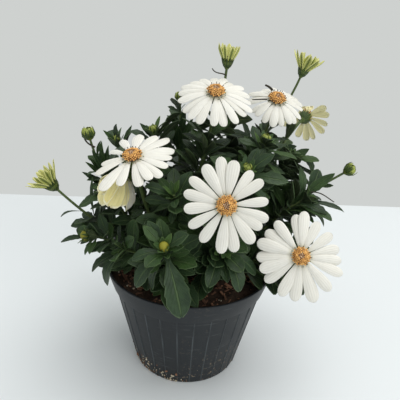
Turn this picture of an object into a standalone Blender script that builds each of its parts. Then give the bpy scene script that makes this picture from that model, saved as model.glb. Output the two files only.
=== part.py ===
# A potted osteospermum: a 13 cm nursery container with its soil, a woody crown, leafy shoots, open
# flowers and buds. Metres, +Z up. The origin is the centre of the pot's flat underside, and -Y is
# the side that the plant turns to the viewer.

import math

import bmesh
import bpy
from mathutils import Vector
from mathutils.bvhtree import BVHTree
from mathutils.geometry import interpolate_bezier

MM = 0.001
GAP = 0.35 * MM                 # air between two pieces that rest on each other
LEAF_AIR = 0.45 * MM            # air that a leaf keeps from whatever it doesn't grow from

# The pot, as radii and heights in millimetres.
POT_RIM_RADIUS = 65.0
POT_HEIGHT = 88.0
POT_BAND_RADIUS = 60.4          # lower edge of the plain band below the rim
POT_BAND_HEIGHT = 16.2
POT_BODY_TOP_RADIUS = 58.4
POT_BASE_RADIUS = 42.6
POT_WALL = 1.3
POT_FLOOR = 1.7
POT_RIBS = 30
POT_RIB_HEIGHT = 0.55
POT_RIB_HALF_ANGLE = math.radians(0.8)
DRAIN_HOLES = 6
DRAIN_RADIUS = 4.5
DRAIN_CIRCLE = 29.0

# The soil and the woody crown that the shoots spring from.
SOIL_TOP = 81.5
SOIL_WALL_AIR = 0.75
CROWN_CENTRE = Vector((-4.0, 4.0, SOIL_TOP - 4.0))
CROWN_RADIUS = 16.0

# Parts of a flower head, in millimetres along its own axis from where the petals spread.
CALYX_TOP = -1.2
CALYX_DEPTH = 8.0
RAY_PLATE = (-0.85, -0.05)      # the lower and upper face of the ring that carries the petals
RAY_RING_RADII = (3.2, 6.4)
DISC_FOOT = 0.3
PETAL_WIDTH = 4.4               # a petal's width is this times the head's reach over its petals
FACE_CLEAR = 12.0               # how far in front of an open flower the leaves leave free

# Open flowers: where the petals spread, the way the head faces, the petals' number, reach and fall
# below the head's plane (a negative fall closes the flower), and the disc's radius and height.
HEADS = {
    "front": dict(centre=(21.8, -62.0, 163.2), facing=(-0.05, -0.93, 0.36), petals=16, reach=28.5,
                  fall=3, disc=(5.9, 3.6), start=0.0),
    "low_right": dict(centre=(74.4, -50.0, 123.8), facing=(-0.10, -0.86, 0.50), petals=16,
                      reach=28.5, fall=5, disc=(5.7, 3.6), start=4.0),
    "top": dict(centre=(12.6, 0.0, 218.9), facing=(0.03, -0.47, 0.88), petals=16, reach=27.5,
                fall=17, disc=(5.8, 4.2), start=9.0),
    "top_right": dict(centre=(59.2, 30.0, 210.5), facing=(0.05, -0.48, 0.87), petals=16, reach=23.5,
                      fall=21, disc=(6.2, 3.8), start=3.0),
    "left": dict(centre=(-39.8, -30.0, 180.2), facing=(-0.12, -0.38, 0.92), petals=15, reach=28.0,
                 fall=8, disc=(6.1, 4.0), start=7.0),
    "back_right": dict(centre=(88.6, 61.0, 191.9), facing=(0.47, 0.80, 0.20), petals=15, reach=21.0,
                       fall=6, disc=(5.0, 3.2), start=0.0),
    "nodding": dict(centre=(-49.5, -10.0, 158.0), facing=(-0.42, -0.20, -0.88), petals=11,
                    reach=27.0, fall=-56, disc=(4.6, 3.0), start=12.0),
}

# Half-open buds: the point where the petals leave the cup, the way the bud points, the petals'
# number and length, and how far they lean out from the bud's axis.
OPENING_BUDS = {
    "top_bud": dict(centre=(20.3, 30.0, 236.5), facing=(0.06, 0.05, 1.0), petals=11, reach=13.0,
                    lean=24, cup=4.6),
    "back_bud": dict(centre=(81.5, 58.0, 229.0), facing=(0.30, 0.0, 0.95), petals=12, reach=17.0,
                     lean=35, cup=4.9),
    "left_bud": dict(centre=(-103.2, -5.6, 147.3), facing=(-0.66, -0.12, 0.74), petals=13,
                     reach=18.0, lean=42, cup=5.6),
}

# Closed buds on long stalks: the foot of the bud, the way it points, its length and radius.
CLOSED_BUDS = {
    "upper_left_bud": dict(foot=(-77.2, 10.0, 177.6), facing=(-0.2, -0.1, 0.97), length=10.5,
                           radius=4.7),
    "right_bud": dict(foot=(110.2, 5.0, 164.0), facing=(0.74, -0.2, 0.64), length=11.5, radius=5.1),
}

# Shoots. base is the place on the crown, as azimuth and elevation in degrees. tip and aim are where
# the shoot ends and the way it points there; a shoot that carries a flower or a bud takes them from
# it. pull gives the length of the two handles of the stem's curve. leaves is the stretch that bears
# them and their number, and blade the length and width of the lowest and the highest leaf. bud is
# the radius of a small bud at the tip.
SHOOTS = {
    "front": dict(base=(-72, 44), head="front", pull=(46, 34), radius=1.5,
                  leaves=(0.16, 0.74, 8), blade=(34, 14, 26, 11)),
    "low_right": dict(base=(-38, 24), head="low_right", pull=(34, 30), radius=1.5,
                      leaves=(0.22, 0.74, 8), blade=(32, 12, 24, 10)),
    "top": dict(base=(-80, 84), head="top", pull=(60, 48), radius=1.5,
                leaves=(0.20, 0.74, 8), blade=(34, 12, 24, 10)),
    "top_right": dict(base=(24, 66), head="top_right", pull=(62, 42), radius=1.5,
                      leaves=(0.20, 0.76, 8), blade=(34, 12, 24, 10)),
    "left": dict(base=(-142, 56), head="left", pull=(46, 40), radius=1.5,
                 leaves=(0.18, 0.78, 8), blade=(33, 12, 25, 11)),
    "back_right": dict(base=(33, 40), head="back_right", pull=(58, 36), radius=1.4,
                       leaves=(0.22, 0.74, 8), blade=(32, 12, 24, 10)),
    "nodding": dict(base=(-170, 52), head="nodding", pull=(56, 26), radius=1.3,
                    leaves=(0.20, 0.62, 7), blade=(31, 11, 24, 10)),
    "top_bud": dict(base=(78, 74), head="top_bud", pull=(64, 44), radius=1.3,
                    leaves=(0.24, 0.74, 8), blade=(31, 11, 21, 8.5)),
    "back_bud": dict(base=(48, 56), head="back_bud", pull=(62, 46), radius=1.2,
                     leaves=(0.24, 0.66, 7), blade=(31, 12, 23, 10)),
    "left_bud": dict(base=(-176, 24), head="left_bud", pull=(40, 32), radius=1.3,
                     leaves=(0.22, 0.62, 8), blade=(31, 12, 20, 8.5)),
    "upper_left_bud": dict(base=(172, 40), head="upper_left_bud", pull=(44, 34), radius=1.2,
                           leaves=(0.24, 0.80, 8), blade=(28, 10, 15, 6.5)),
    "right_bud": dict(base=(2, 36), head="right_bud", pull=(48, 38), radius=1.2,
                      leaves=(0.24, 0.72, 8), blade=(32, 13, 16, 6.5)),
    "rear_left": dict(base=(112, 62), tip=(-14, 40, 204), aim=(-0.1, 0.2, 1), pull=(50, 40),
                      radius=1.2, leaves=(0.24, 0.98, 9), blade=(31, 11, 21, 8.5), bud=3.4),
    "low_left": dict(base=(-153, 19), tip=(-70, -30, 119.6), aim=(-0.93, -0.25, 0.2),
                     pull=(26, 24), radius=1.2, leaves=(0.30, 0.99, 8), blade=(30, 11, 20, 10),
                     bud=4.2),
    "front_rosette": dict(base=(-101, 20), tip=(-15.3, -60.5, 130.0), aim=(-0.1, -0.55, 0.83),
                          pull=(30, 24), radius=1.4, leaves=(0.34, 0.99, 8),
                          blade=(35, 14, 22, 11), bud=3.6),
    "mid_bud": dict(base=(-28, 62), tip=(35.7, -22, 171), aim=(0.1, -0.35, 0.93), pull=(44, 30),
                    radius=1.2, leaves=(0.26, 0.98, 8), blade=(32, 12, 20, 8.5), bud=3.4),
    "right_crest": dict(base=(2, 58), tip=(49.5, 3, 184), aim=(0.15, -0.2, 0.95), pull=(50, 32),
                        radius=1.2, leaves=(0.26, 0.98, 9), blade=(32, 12, 21, 10), bud=3.8),
    "left_crest": dict(base=(150, 60), tip=(-31, 15, 184), aim=(-0.2, -0.05, 0.97), pull=(44, 34),
                       radius=1.2, leaves=(0.26, 0.98, 9), blade=(31, 11, 21, 8.5), bud=3.2),
    "left_hanging": dict(base=(-131, 20), tip=(-47, -36, 113), aim=(-0.75, -0.6, 0.3),
                         pull=(26, 20), radius=1.2, leaves=(0.30, 0.98, 7),
                         blade=(33, 12, 25, 11)),
    "front_right": dict(base=(-62, 20), tip=(24, -44, 122), aim=(0.4, -0.75, 0.5), pull=(26, 20),
                        radius=1.3, leaves=(0.28, 0.98, 8), blade=(35, 14, 26, 12)),
    "right_low": dict(base=(-14, 22), tip=(84, -4, 146), aim=(0.85, -0.1, 0.5), pull=(38, 30),
                      radius=1.3, leaves=(0.28, 0.98, 8), blade=(34, 13, 28, 12)),
    "centre": dict(base=(-112, 50), tip=(-12, -34, 156), aim=(-0.15, -0.4, 0.9), pull=(40, 28),
                   radius=1.3, leaves=(0.24, 0.98, 9), blade=(34, 13, 23, 11)),
    "back_left": dict(base=(136, 34), tip=(-64, 44, 166), aim=(-0.3, 0.25, 0.92), pull=(40, 30),
                      radius=1.3, leaves=(0.26, 0.98, 8), blade=(33, 13, 22, 10), bud=3.4),
    "back": dict(base=(96, 30), tip=(-6, 80, 150), aim=(0.0, 0.6, 0.8), pull=(40, 30), radius=1.3,
                 leaves=(0.26, 0.98, 8), blade=(33, 13, 22, 10), bud=3.8),
    "back_low_right": dict(base=(62, 28), tip=(52, 70, 146), aim=(0.45, 0.5, 0.74), pull=(38, 30),
                           radius=1.3, leaves=(0.26, 0.98, 8), blade=(33, 13, 22, 10), bud=3.2),
    "rear_high": dict(base=(68, 52), tip=(28, 52, 184), aim=(0.1, 0.35, 0.93), pull=(46, 34),
                      radius=1.2, leaves=(0.24, 0.98, 8), blade=(32, 12, 21, 10)),
    "right_high": dict(base=(17, 44), tip=(74.5, 23.5, 168), aim=(0.55, -0.05, 0.83), pull=(46, 34),
                       radius=1.2, leaves=(0.26, 0.98, 8), blade=(31, 12, 22, 10)),
    "left_mid": dict(base=(-162, 36), tip=(-64, -6, 146), aim=(-0.6, -0.2, 0.77), pull=(38, 28),
                     radius=1.2, leaves=(0.26, 0.98, 8), blade=(31, 12, 22, 10)),
}

# Leaves with a place of their own, as the shoot, how far along it they grow, the point where the
# blade ends, the height of its arch above the straight line, and its width, all in millimetres.
PLACED_LEAVES = [
    ("front_rosette", 0.93, (-2.0, -76.0, 88.0), 9, 17.0),
    ("front_rosette", 0.90, (-33.5, -68.0, 105.0), 7, 12.5),
    ("front_rosette", 0.95, (-36.0, -64.0, 123.0), 5, 9.0),
    ("front_rosette", 0.86, (-24.5, -56.0, 95.5), 6, 12.0),
    ("front_right", 0.90, (35.5, -59.0, 99.0), 8, 13.0),
    ("front_right", 0.80, (14.0, -63.0, 104.0), 8, 12.0),
    ("front_right", 0.95, (47.0, -46.0, 105.0), 7, 11.0),
    ("left_hanging", 0.92, (-57.0, -46.0, 89.5), 8, 11.5),
    ("left_hanging", 0.86, (-69.0, -39.0, 96.0), 8, 9.0),
    ("right_low", 0.93, (114.0, -2.0, 136.0), 6, 10.0),
    ("right_low", 0.90, (98.0, -12.0, 128.0), 6, 11.0),
    ("left_bud", 0.74, (-97.0, -11.0, 124.0), 4, 6.0),
    ("low_left", 0.97, (-93.0, -27.0, 112.0), 3, 6.5),
]

STEM_SIDES = 5
STEM_STEPS = 7
LEAF_CROWDING = 0.8             # under 1, the leaves stand closer together towards the tip
LEAF_RISE_LOW = 60.0            # angle between the stem and its lowest leaf, in degrees
LEAF_RISE_HIGH = 38.0
LIGHT_SIDE = Vector((0.1, -0.95, 0.3))
TURN = math.radians(137.5)      # each leaf is turned this far round the stem from the one below

# Air that no leaf may take: over the soil at the front, for watering, at the left of the low front
# leaves, where the pot's rim shows, and before the nodding flower.
OPEN_SPOTS = {
    "water_space": ((17.0, -40.0, 82.6), (44.0, -16.0, 92.0)),
    "left_hollow": ((-44.0, -60.0, 86.0), (-37.0, -36.0, 112.0)),
    "nodding_view": ((-66.0, -58.0, 138.0), (-40.0, -20.0, 166.0)),
}


def colour_material(name, colour, roughness, metallic=0.0):
    material = bpy.data.materials.new(name)
    material.use_nodes = True
    shader = material.node_tree.nodes["Principled BSDF"]
    shader.inputs["Base Color"].default_value = (*colour, 1.0)
    shader.inputs["Roughness"].default_value = roughness
    shader.inputs["Metallic"].default_value = metallic
    return material


def add_object(name, verts, faces, material, smooth_angle=None):
    mesh = bpy.data.meshes.new(name)
    mesh.from_pydata([tuple(v) for v in verts], [], faces)
    bm = bmesh.new()
    bm.from_mesh(mesh)
    bmesh.ops.recalc_face_normals(bm, faces=bm.faces)
    bm.to_mesh(mesh)
    bm.free()
    if smooth_angle is not None:
        mesh.shade_smooth()
        mesh.set_sharp_from_angle(angle=smooth_angle)
    obj = bpy.data.objects.new(name, mesh)
    obj.data.materials.append(material)
    bpy.context.scene.collection.objects.link(obj)
    return obj


def as_helper(obj):
    obj.hide_render = True
    obj.display_type = "WIRE"
    return obj


def axes_of(direction):
    """Two unit vectors square to the direction and to each other."""
    side = direction.orthogonal().normalized()
    return side, direction.cross(side).normalized()


def turned(profile, angles, origin, direction):
    """Vertices and faces of a profile of (radius, height) pairs turned round an axis. The first and
    the last pair lie on the axis."""
    axis = direction.normalized()
    side, other = axes_of(axis)
    verts = [origin + axis * profile[0][1]]
    for radius, height in profile[1:-1]:
        for angle in angles:
            verts.append(origin + axis * height
                         + side * (radius * math.cos(angle)) + other * (radius * math.sin(angle)))
    verts.append(origin + axis * profile[-1][1])
    count, rows = len(angles), len(profile) - 2
    faces = []
    for column in range(count):
        beside = (column + 1) % count
        faces.append((0, 1 + beside, 1 + column))
        for row in range(rows - 1):
            low, high = 1 + row * count, 1 + (row + 1) * count
            faces.append((low + column, low + beside, high + beside, high + column))
        last = 1 + (rows - 1) * count
        faces.append((last + column, last + beside, len(verts) - 1))
    return verts, faces


def even_angles(count, start=0.0):
    return [start + 2 * math.pi * i / count for i in range(count)]


def tube(points, radius, sides=STEM_SIDES, tip_share=0.75):
    """Vertices and faces of a closed tube that thins towards its end."""
    verts = []
    faces = []
    last = len(points) - 1
    direction = (points[1] - points[0]).normalized()
    side = direction.orthogonal().normalized()
    for i, point in enumerate(points):
        ahead = points[min(i + 1, last)] - points[max(i - 1, 0)]
        direction = ahead.normalized()
        side = (side - direction * side.dot(direction)).normalized()
        other = direction.cross(side)
        reach = radius * (1 + (tip_share - 1) * i / last)
        for k in range(sides):
            angle = 2 * math.pi * k / sides
            verts.append(point + side * (reach * math.cos(angle)) + other * (reach * math.sin(angle)))
    for i in range(last):
        for k in range(sides):
            near, far = i * sides, (i + 1) * sides
            beside = (k + 1) % sides
            faces.append((near + k, near + beside, far + beside, far + k))
    faces.append(tuple(reversed(range(sides))))
    faces.append(tuple(last * sides + k for k in range(sides)))
    return verts, faces


# A blade's stations from its foot: the share of its length, and the share of its width there.
BLADE_STATIONS = ((0.0, 0.16), (0.44, 0.62), (0.76, 1.0))
BLADE_FOLD = 0.10               # how far the edges stand above the midrib, as a share of the width
BLADE_THICKNESS = 0.9 * MM


def blade(foot, middle, tip, width, upper, swell=0.0, from_station=0):
    """Vertices and faces of a leaf along the curve foot, middle, tip. Its section is a shallow V,
    four points round, closed by a point at the tip. swell makes it larger all over."""
    verts = []
    faces = []
    stations = BLADE_STATIONS[from_station:]
    for share, wide in stations:
        point = (foot * (1 - share) ** 2 + middle * (2 * share * (1 - share)) + tip * share ** 2)
        along = ((middle - foot) * (1 - share) + (tip - middle) * share).normalized()
        across = along.cross(upper).normalized()
        normal = across.cross(along).normalized()
        half = width * wide / 2
        lift = normal * (half * 2 * BLADE_FOLD)
        deep = normal * (BLADE_THICKNESS / 2 + swell)
        verts += [point - across * (half + swell) + lift, point - deep,
                  point + across * (half + swell) + lift, point + deep]
    end = tip + (tip - middle).normalized() * swell
    verts.append(end)
    rings = len(stations)
    for i in range(rings - 1):
        for k in range(4):
            beside = (k + 1) % 4
            faces.append((4 * i + k, 4 * i + beside, 4 * i + 4 + beside, 4 * i + 4 + k))
    for k in range(4):
        faces.append((4 * rings - 4 + k, 4 * rings - 4 + (k + 1) % 4, 4 * rings))
    faces.append((3, 2, 1, 0))
    return verts, faces


class Room:
    """Remembers what stands where, so that a new leaf can be tested against it."""

    def __init__(self):
        self.taken = []

    def add(self, verts, faces, owner):
        tree = BVHTree.FromPolygons([tuple(v) for v in verts], faces)
        self.taken.append((tree, corners(verts), owner))

    def is_free(self, verts, faces, skip=None):
        low, high = corners(verts)
        tree = None
        for other, (other_low, other_high), owner in self.taken:
            if owner == skip:
                continue
            if any(high[i] < other_low[i] or low[i] > other_high[i] for i in range(3)):
                continue
            if tree is None:
                tree = BVHTree.FromPolygons([tuple(v) for v in verts], faces)
            if tree.overlap(other):
                return False
        return True


def corners(verts):
    return (tuple(min(v[i] for v in verts) for i in range(3)),
            tuple(max(v[i] for v in verts) for i in range(3)))


def pot_shape():
    """Vertices and faces of the container: a ribbed outside with three columns to each rib, joined
    over the rim to a plain inside with one column to each rib."""
    step_z = POT_HEIGHT - POT_BAND_HEIGHT
    outside = [(POT_BASE_RADIUS - 1.2, 0), (POT_BASE_RADIUS, 1.2), (POT_BODY_TOP_RADIUS, step_z - 0.7),
               (POT_BAND_RADIUS, step_z), (POT_RIM_RADIUS, POT_HEIGHT - 0.8),
               (POT_RIM_RADIUS - 0.3, POT_HEIGHT)]
    inside = [(POT_RIM_RADIUS - POT_WALL - 0.3, POT_HEIGHT), (POT_BAND_RADIUS - POT_WALL, step_z + 1.4),
              (POT_BODY_TOP_RADIUS - POT_WALL, step_z + 0.4), (POT_BASE_RADIUS - POT_WALL, POT_FLOOR)]
    columns = []
    for rib in range(POT_RIBS):
        middle = 2 * math.pi * rib / POT_RIBS
        columns += [middle - POT_RIB_HALF_ANGLE, middle, middle + POT_RIB_HALF_ANGLE]
    verts = []
    for row, (radius, height) in enumerate(outside):
        for column, angle in enumerate(columns):
            on_rib = row in (1, 2) and column % 3 == 1
            reach = radius + (POT_RIB_HEIGHT if on_rib else 0)
            verts.append(Vector((reach * math.cos(angle), reach * math.sin(angle), height)) * MM)
    inner_start = len(verts)
    for radius, height in inside:
        for rib in range(POT_RIBS):
            angle = 2 * math.pi * rib / POT_RIBS
            verts.append(Vector((radius * math.cos(angle), radius * math.sin(angle), height)) * MM)
    count = len(columns)
    faces = [tuple(range(count))]
    for row in range(len(outside) - 1):
        low, high = row * count, (row + 1) * count
        for k in range(count):
            m = (k + 1) % count
            faces.append((low + k, low + m, high + m, high + k))
    rim = (len(outside) - 1) * count
    for k in range(POT_RIBS):
        m = (k + 1) % POT_RIBS
        edge = [rim + (3 * k + i) % count for i in (1, 2, 3, 4)]
        faces.append((*edge, inner_start + m, inner_start + k))
    for row in range(len(inside) - 1):
        low, high = inner_start + row * POT_RIBS, inner_start + (row + 1) * POT_RIBS
        for k in range(POT_RIBS):
            m = (k + 1) % POT_RIBS
            faces.append((low + k, low + m, high + m, high + k))
    faces.append(tuple(range(len(verts) - POT_RIBS, len(verts))))
    return verts, faces


def make_pot(material):
    """The container, with drain holes cut through its floor."""
    verts, faces = pot_shape()
    pot = add_object("pot", verts, faces, material, math.radians(20))
    holes = bmesh.new()
    for angle in even_angles(DRAIN_HOLES, math.radians(20)):
        made = bmesh.ops.create_cone(holes, cap_ends=True, segments=10, radius1=DRAIN_RADIUS * MM,
                                     radius2=DRAIN_RADIUS * MM, depth=8 * MM)
        place = Vector((math.cos(angle), math.sin(angle), 0)) * DRAIN_CIRCLE * MM
        bmesh.ops.translate(holes, verts=made["verts"], vec=place)
    mesh = bpy.data.meshes.new("drain_cutter")
    holes.to_mesh(mesh)
    holes.free()
    cutter = bpy.data.objects.new("drain_cutter", mesh)
    bpy.context.scene.collection.objects.link(cutter)
    as_helper(cutter)
    drain = pot.modifiers.new("drain_holes", "BOOLEAN")
    drain.operation = "DIFFERENCE"
    drain.object = cutter
    return verts, faces


def soil_height(x, y):
    """The soil's top in millimetres: gentle mounds that die away towards the crown."""
    away = min(1.0, max(0.0, math.hypot(x - CROWN_CENTRE.x, y - CROWN_CENTRE.y) / 26 - 0.75))
    mounds = math.sin(0.16 * x + 0.9) * math.cos(0.19 * y - 0.4) + 0.5 * math.sin(0.31 * x - 0.27 * y)
    return SOIL_TOP + away * 0.9 * mounds


def make_soil(material):
    """The root ball and soil, filling the pot to just below its rim."""
    step_z = POT_HEIGHT - POT_BAND_HEIGHT
    wall = POT_WALL + SOIL_WALL_AIR
    floor = POT_FLOOR + 0.35
    top_radius = POT_BAND_RADIUS - wall + (POT_RIM_RADIUS - POT_BAND_RADIUS) * 0.52
    profile = [(0, floor), (POT_BASE_RADIUS - wall, floor), (POT_BODY_TOP_RADIUS - wall, step_z),
               (top_radius, SOIL_TOP - 0.8), (48, SOIL_TOP), (34, SOIL_TOP), (21, SOIL_TOP),
               (0, SOIL_TOP)]
    verts, faces = turned([(r * MM, z * MM) for r, z in profile], even_angles(36),
                          Vector((0, 0, 0)), Vector((0, 0, 1)))
    loose_from = 1 + 3 * 36
    for i in range(loose_from, len(verts) - 1):
        x, y = verts[i].x / MM, verts[i].y / MM
        verts[i].z = soil_height(x, y) * MM
    add_object("soil", verts, faces, material, math.radians(40))
    return verts, faces


def make_crown(material):
    """The woody dome at soil level that every shoot springs from."""
    centre = CROWN_CENTRE * MM
    radius = CROWN_RADIUS * MM
    foot = SOIL_TOP * MM + GAP
    foot_radius = math.sqrt(radius ** 2 - (foot - centre.z) ** 2)
    profile = [(0, foot), (foot_radius, foot)]
    for degrees in (30, 48, 66, 80):
        angle = math.radians(degrees)
        profile.append((radius * math.cos(angle), centre.z + radius * math.sin(angle)))
    profile.append((0, centre.z + radius))
    verts, faces = turned([(r, z - centre.z) for r, z in profile], even_angles(20), centre,
                          Vector((0, 0, 1)))
    add_object("crown", verts, faces, material, math.radians(50))
    return verts, faces


def head_end(name):
    """Where a stalk ends below its flower or bud, and the way it points there."""
    if name in HEADS:
        facing = Vector(HEADS[name]["facing"]).normalized()
        return (Vector(HEADS[name]["centre"]) * MM
                + facing * ((CALYX_TOP - CALYX_DEPTH) * MM - GAP), facing)
    if name in OPENING_BUDS:
        facing = Vector(OPENING_BUDS[name]["facing"]).normalized()
        return Vector(OPENING_BUDS[name]["centre"]) * MM + facing * (-6.0 * MM - GAP), facing
    facing = Vector(CLOSED_BUDS[name]["facing"]).normalized()
    return Vector(CLOSED_BUDS[name]["foot"]) * MM - facing * GAP, facing


def shoot_paths():
    """Each shoot's centre line."""
    paths = {}
    for name, shoot in SHOOTS.items():
        if "head" in shoot:
            end, aim = head_end(shoot["head"])
        else:
            end, aim = Vector(shoot["tip"]) * MM, Vector(shoot["aim"]).normalized()
        azimuth, elevation = (math.radians(angle) for angle in shoot["base"])
        leaving = Vector((math.cos(azimuth) * math.cos(elevation),
                          math.sin(azimuth) * math.cos(elevation), math.sin(elevation)))
        start = CROWN_CENTRE * MM + leaving * (CROWN_RADIUS * MM + GAP)
        first, second = (pull * MM for pull in shoot["pull"])
        paths[name] = interpolate_bezier(start, start + leaving * first, end - aim * second, end,
                                         STEM_STEPS + 1)
    return paths


def along_path(points, share):
    """The point and the direction at a share of a path."""
    place = share * (len(points) - 1)
    low = min(int(place), len(points) - 2)
    return points[low].lerp(points[low + 1], place - low), (points[low + 1] - points[low]).normalized()


def grown_leaf(path, share, azimuth, rise, length):
    """Foot, middle, tip and upper side of a leaf that leaves the stem at an angle and arches out.
    Its upper side is turned a little to the light, which comes from above and the front."""
    foot, along = along_path(path, share)
    up = Vector((0, 0, 1))
    side, other = axes_of(along)
    outward = (side * math.cos(azimuth) + other * math.sin(azimuth)).normalized()
    start = (along * math.cos(rise) + outward * math.sin(rise)).normalized()
    middle = foot + start * (length * 0.5)
    bent = (start * 0.8 + outward * 0.35 - up * 0.22).normalized()
    tip = middle + bent * (length * 0.5)
    upper = (along * 0.7 + up * 0.4 + LIGHT_SIDE * 0.45).normalized()
    return foot, middle, tip, upper


def placed_leaf(path, share, tip, arch):
    foot, along = along_path(path, share)
    end = Vector(tip) * MM
    straight = end - foot
    up = Vector((0, 0, 1))
    lift = (up - straight.normalized() * up.dot(straight.normalized()))
    if lift.length < 0.25:
        lift = (along - straight.normalized() * along.dot(straight.normalized()))
    outward = Vector((foot.x, foot.y, 0)).normalized()
    middle = foot + straight * 0.45 + (lift.normalized() + outward * 0.6) * (arch * MM)
    return foot, middle, end, (lift.normalized() + along * 0.4 + outward * 0.5).normalized()


def fits(room, leaf, width, owner):
    """Whether a leaf hangs clear of other pieces, and its outer part of its own shoot's leaves."""
    foot, middle, tip, upper = leaf
    verts, faces = blade(foot, middle, tip, width, upper, LEAF_AIR)
    if not room.is_free(verts, faces, owner):
        return False
    outer, outer_faces = blade(foot, middle, tip, width, upper, 0.1 * MM, 1)
    return room.is_free(outer, outer_faces)


def grown_tries(path, name, i, count):
    """The leaves that a shoot's place for a leaf could hold, the best first, each with its width."""
    first, last, _ = SHOOTS[name]["leaves"]
    long_low, wide_low, long_high, wide_high = SHOOTS[name]["blade"]
    share = i / (count - 1)
    place = first + (last - first) * share ** LEAF_CROWDING
    length = long_low + (long_high - long_low) * share
    width = wide_low + (wide_high - wide_low) * share
    rise = LEAF_RISE_LOW + (LEAF_RISE_HIGH - LEAF_RISE_LOW) * share
    azimuth = TURN * i + list(SHOOTS).index(name)
    for shrink in (1.0, 0.85, 0.7):
        for lean in (0, -14, 14, -26):
            for swing in (0, 14, -14, 28, -28, 44, -44):
                leaf = grown_leaf(path, place, azimuth + math.radians(swing),
                                  math.radians(rise + lean), length * shrink * MM)
                yield leaf, width * shrink ** 0.5 * MM


def leaf_plan(paths, room):
    """Every shoot's leaves as (foot, middle, tip, upper, width). A leaf that would run into another
    piece is turned, raised or shortened until it hangs free, and left out if nothing helps."""
    plan = {name: [] for name in SHOOTS}

    def keep_first(name, tries):
        for leaf, width in tries:
            if fits(room, leaf, width, name + "_shoot"):
                plan[name].append((*leaf, width))
                room.add(*blade(*leaf[:3], width, leaf[3]), name + "_shoot")
                return

    for name, share, tip, arch, width in PLACED_LEAVES:
        keep_first(name, [(placed_leaf(paths[name], share, tip, arch + lift), width * MM)
                          for lift in (0, 2, -2, 4)])
    for name, shoot in SHOOTS.items():
        count = shoot["leaves"][2]
        for i in range(count):
            keep_first(name, grown_tries(paths[name], name, i, count))
    return plan


def petal_ring(centre, facing, count, inner, outer, plate, stations, start):
    """A flat ring with a petal grown out of each of its outer faces. stations are the petal's
    (reach, rise, half width, half thickness), all in metres."""
    axis = facing.normalized()
    side, other = axes_of(axis)
    mesh = bmesh.new()
    rings = []
    for radius in (inner, outer):
        for height in plate:
            rings.append([mesh.verts.new(centre + axis * height + side * (radius * math.cos(a))
                                         + other * (radius * math.sin(a)))
                          for a in even_angles(count, start - math.pi / count)])
    inner_low, inner_high, outer_low, outer_high = rings
    for i in range(count):
        j = (i + 1) % count
        mesh.faces.new((inner_low[i], inner_low[j], outer_low[j], outer_low[i]))
        mesh.faces.new((inner_high[i], outer_high[i], outer_high[j], inner_high[j]))
        mesh.faces.new((inner_low[i], inner_high[i], inner_high[j], inner_low[j]))
        angle = start + 2 * math.pi * i / count
        radial = side * math.cos(angle) + other * math.sin(angle)
        across = axis.cross(radial).normalized()
        section = [outer_low[i], outer_low[j], outer_high[j], outer_high[i]]
        for reach, rise, half, thick in stations:
            middle = centre + radial * reach + axis * rise
            ahead = [mesh.verts.new(middle - across * half - axis * thick),
                     mesh.verts.new(middle + across * half - axis * thick),
                     mesh.verts.new(middle + across * half + axis * thick),
                     mesh.verts.new(middle - across * half + axis * thick)]
            for k in range(4):
                m = (k + 1) % 4
                mesh.faces.new((section[k], section[m], ahead[m], ahead[k]))
            section = ahead
        mesh.faces.new(section)
    bmesh.ops.recalc_face_normals(mesh, faces=mesh.faces)
    mesh.verts.index_update()
    verts = [v.co.copy() for v in mesh.verts]
    faces = [tuple(v.index for v in f.verts) for f in mesh.faces]
    mesh.free()
    return verts, faces


def petal_stations(reach, fall, start_radius, count):
    """A petal's outline from the ring to its tip, falling by an angle below the flower's plane. It
    is as wide as it can be without touching the petals beside it."""
    length = reach - start_radius
    out = []
    for share, wide in ((0.36, 0.67), (0.80, 1.0), (1.0, 0.45)):
        angle = math.radians(fall) * (0.6 + 0.4 * share)
        radius = start_radius + length * share * math.cos(angle)
        width = min(PETAL_WIDTH * reach / count * wide, 0.92 * 2 * math.pi * radius / count)
        out.append((radius * MM, -(length * share * math.sin(angle) + 0.45) * MM, width / 2 * MM,
                    0.36 * MM))
    return out


def calyx(name, centre, facing, top, depth, radius, foot_radius, material, room):
    """The green cup under a flower, as a turned solid with a flat top and a flat foot."""
    axis = facing.normalized()
    profile = [(0, top - depth), (foot_radius, top - depth), (radius * 0.62, top - depth * 0.72),
               (radius * 0.95, top - depth * 0.35), (radius, top), (0, top)]
    verts, faces = turned([(r * MM, z * MM) for r, z in profile], even_angles(8), centre * MM, axis)
    add_object(name, verts, faces, material, math.radians(50))
    room.add(verts, faces, name)


def make_head(name, head, materials, room):
    """An open flower: the calyx, the ring of ray petals and the disc, each resting on the last."""
    centre, facing = Vector(head["centre"]), Vector(head["facing"]).normalized()
    calyx(name + "_flower_calyx", centre, facing, CALYX_TOP, CALYX_DEPTH, 6.3, 1.5,
          materials["green"], room)
    stations = petal_stations(head["reach"], head["fall"], RAY_RING_RADII[1], head["petals"])
    verts, faces = petal_ring(centre * MM, facing, head["petals"], RAY_RING_RADII[0] * MM,
                              RAY_RING_RADII[1] * MM, [z * MM for z in RAY_PLATE], stations,
                              math.radians(head["start"]))
    add_object(name + "_flower_petals", verts, faces, materials["petal"])
    room.add(verts, faces, name + "_flower_petals")
    radius, height = head["disc"]
    profile = [(0, DISC_FOOT), (radius * 0.93, DISC_FOOT), (radius, DISC_FOOT + height * 0.3),
               (radius * 0.78, DISC_FOOT + height * 0.78), (0, DISC_FOOT + height)]
    verts, faces = turned([(r * MM, z * MM) for r, z in profile], even_angles(12), centre * MM, facing)
    add_object(name + "_flower_disc", verts, faces, materials["disc"], math.radians(60))
    room.add(verts, faces, name + "_flower_disc")


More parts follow.
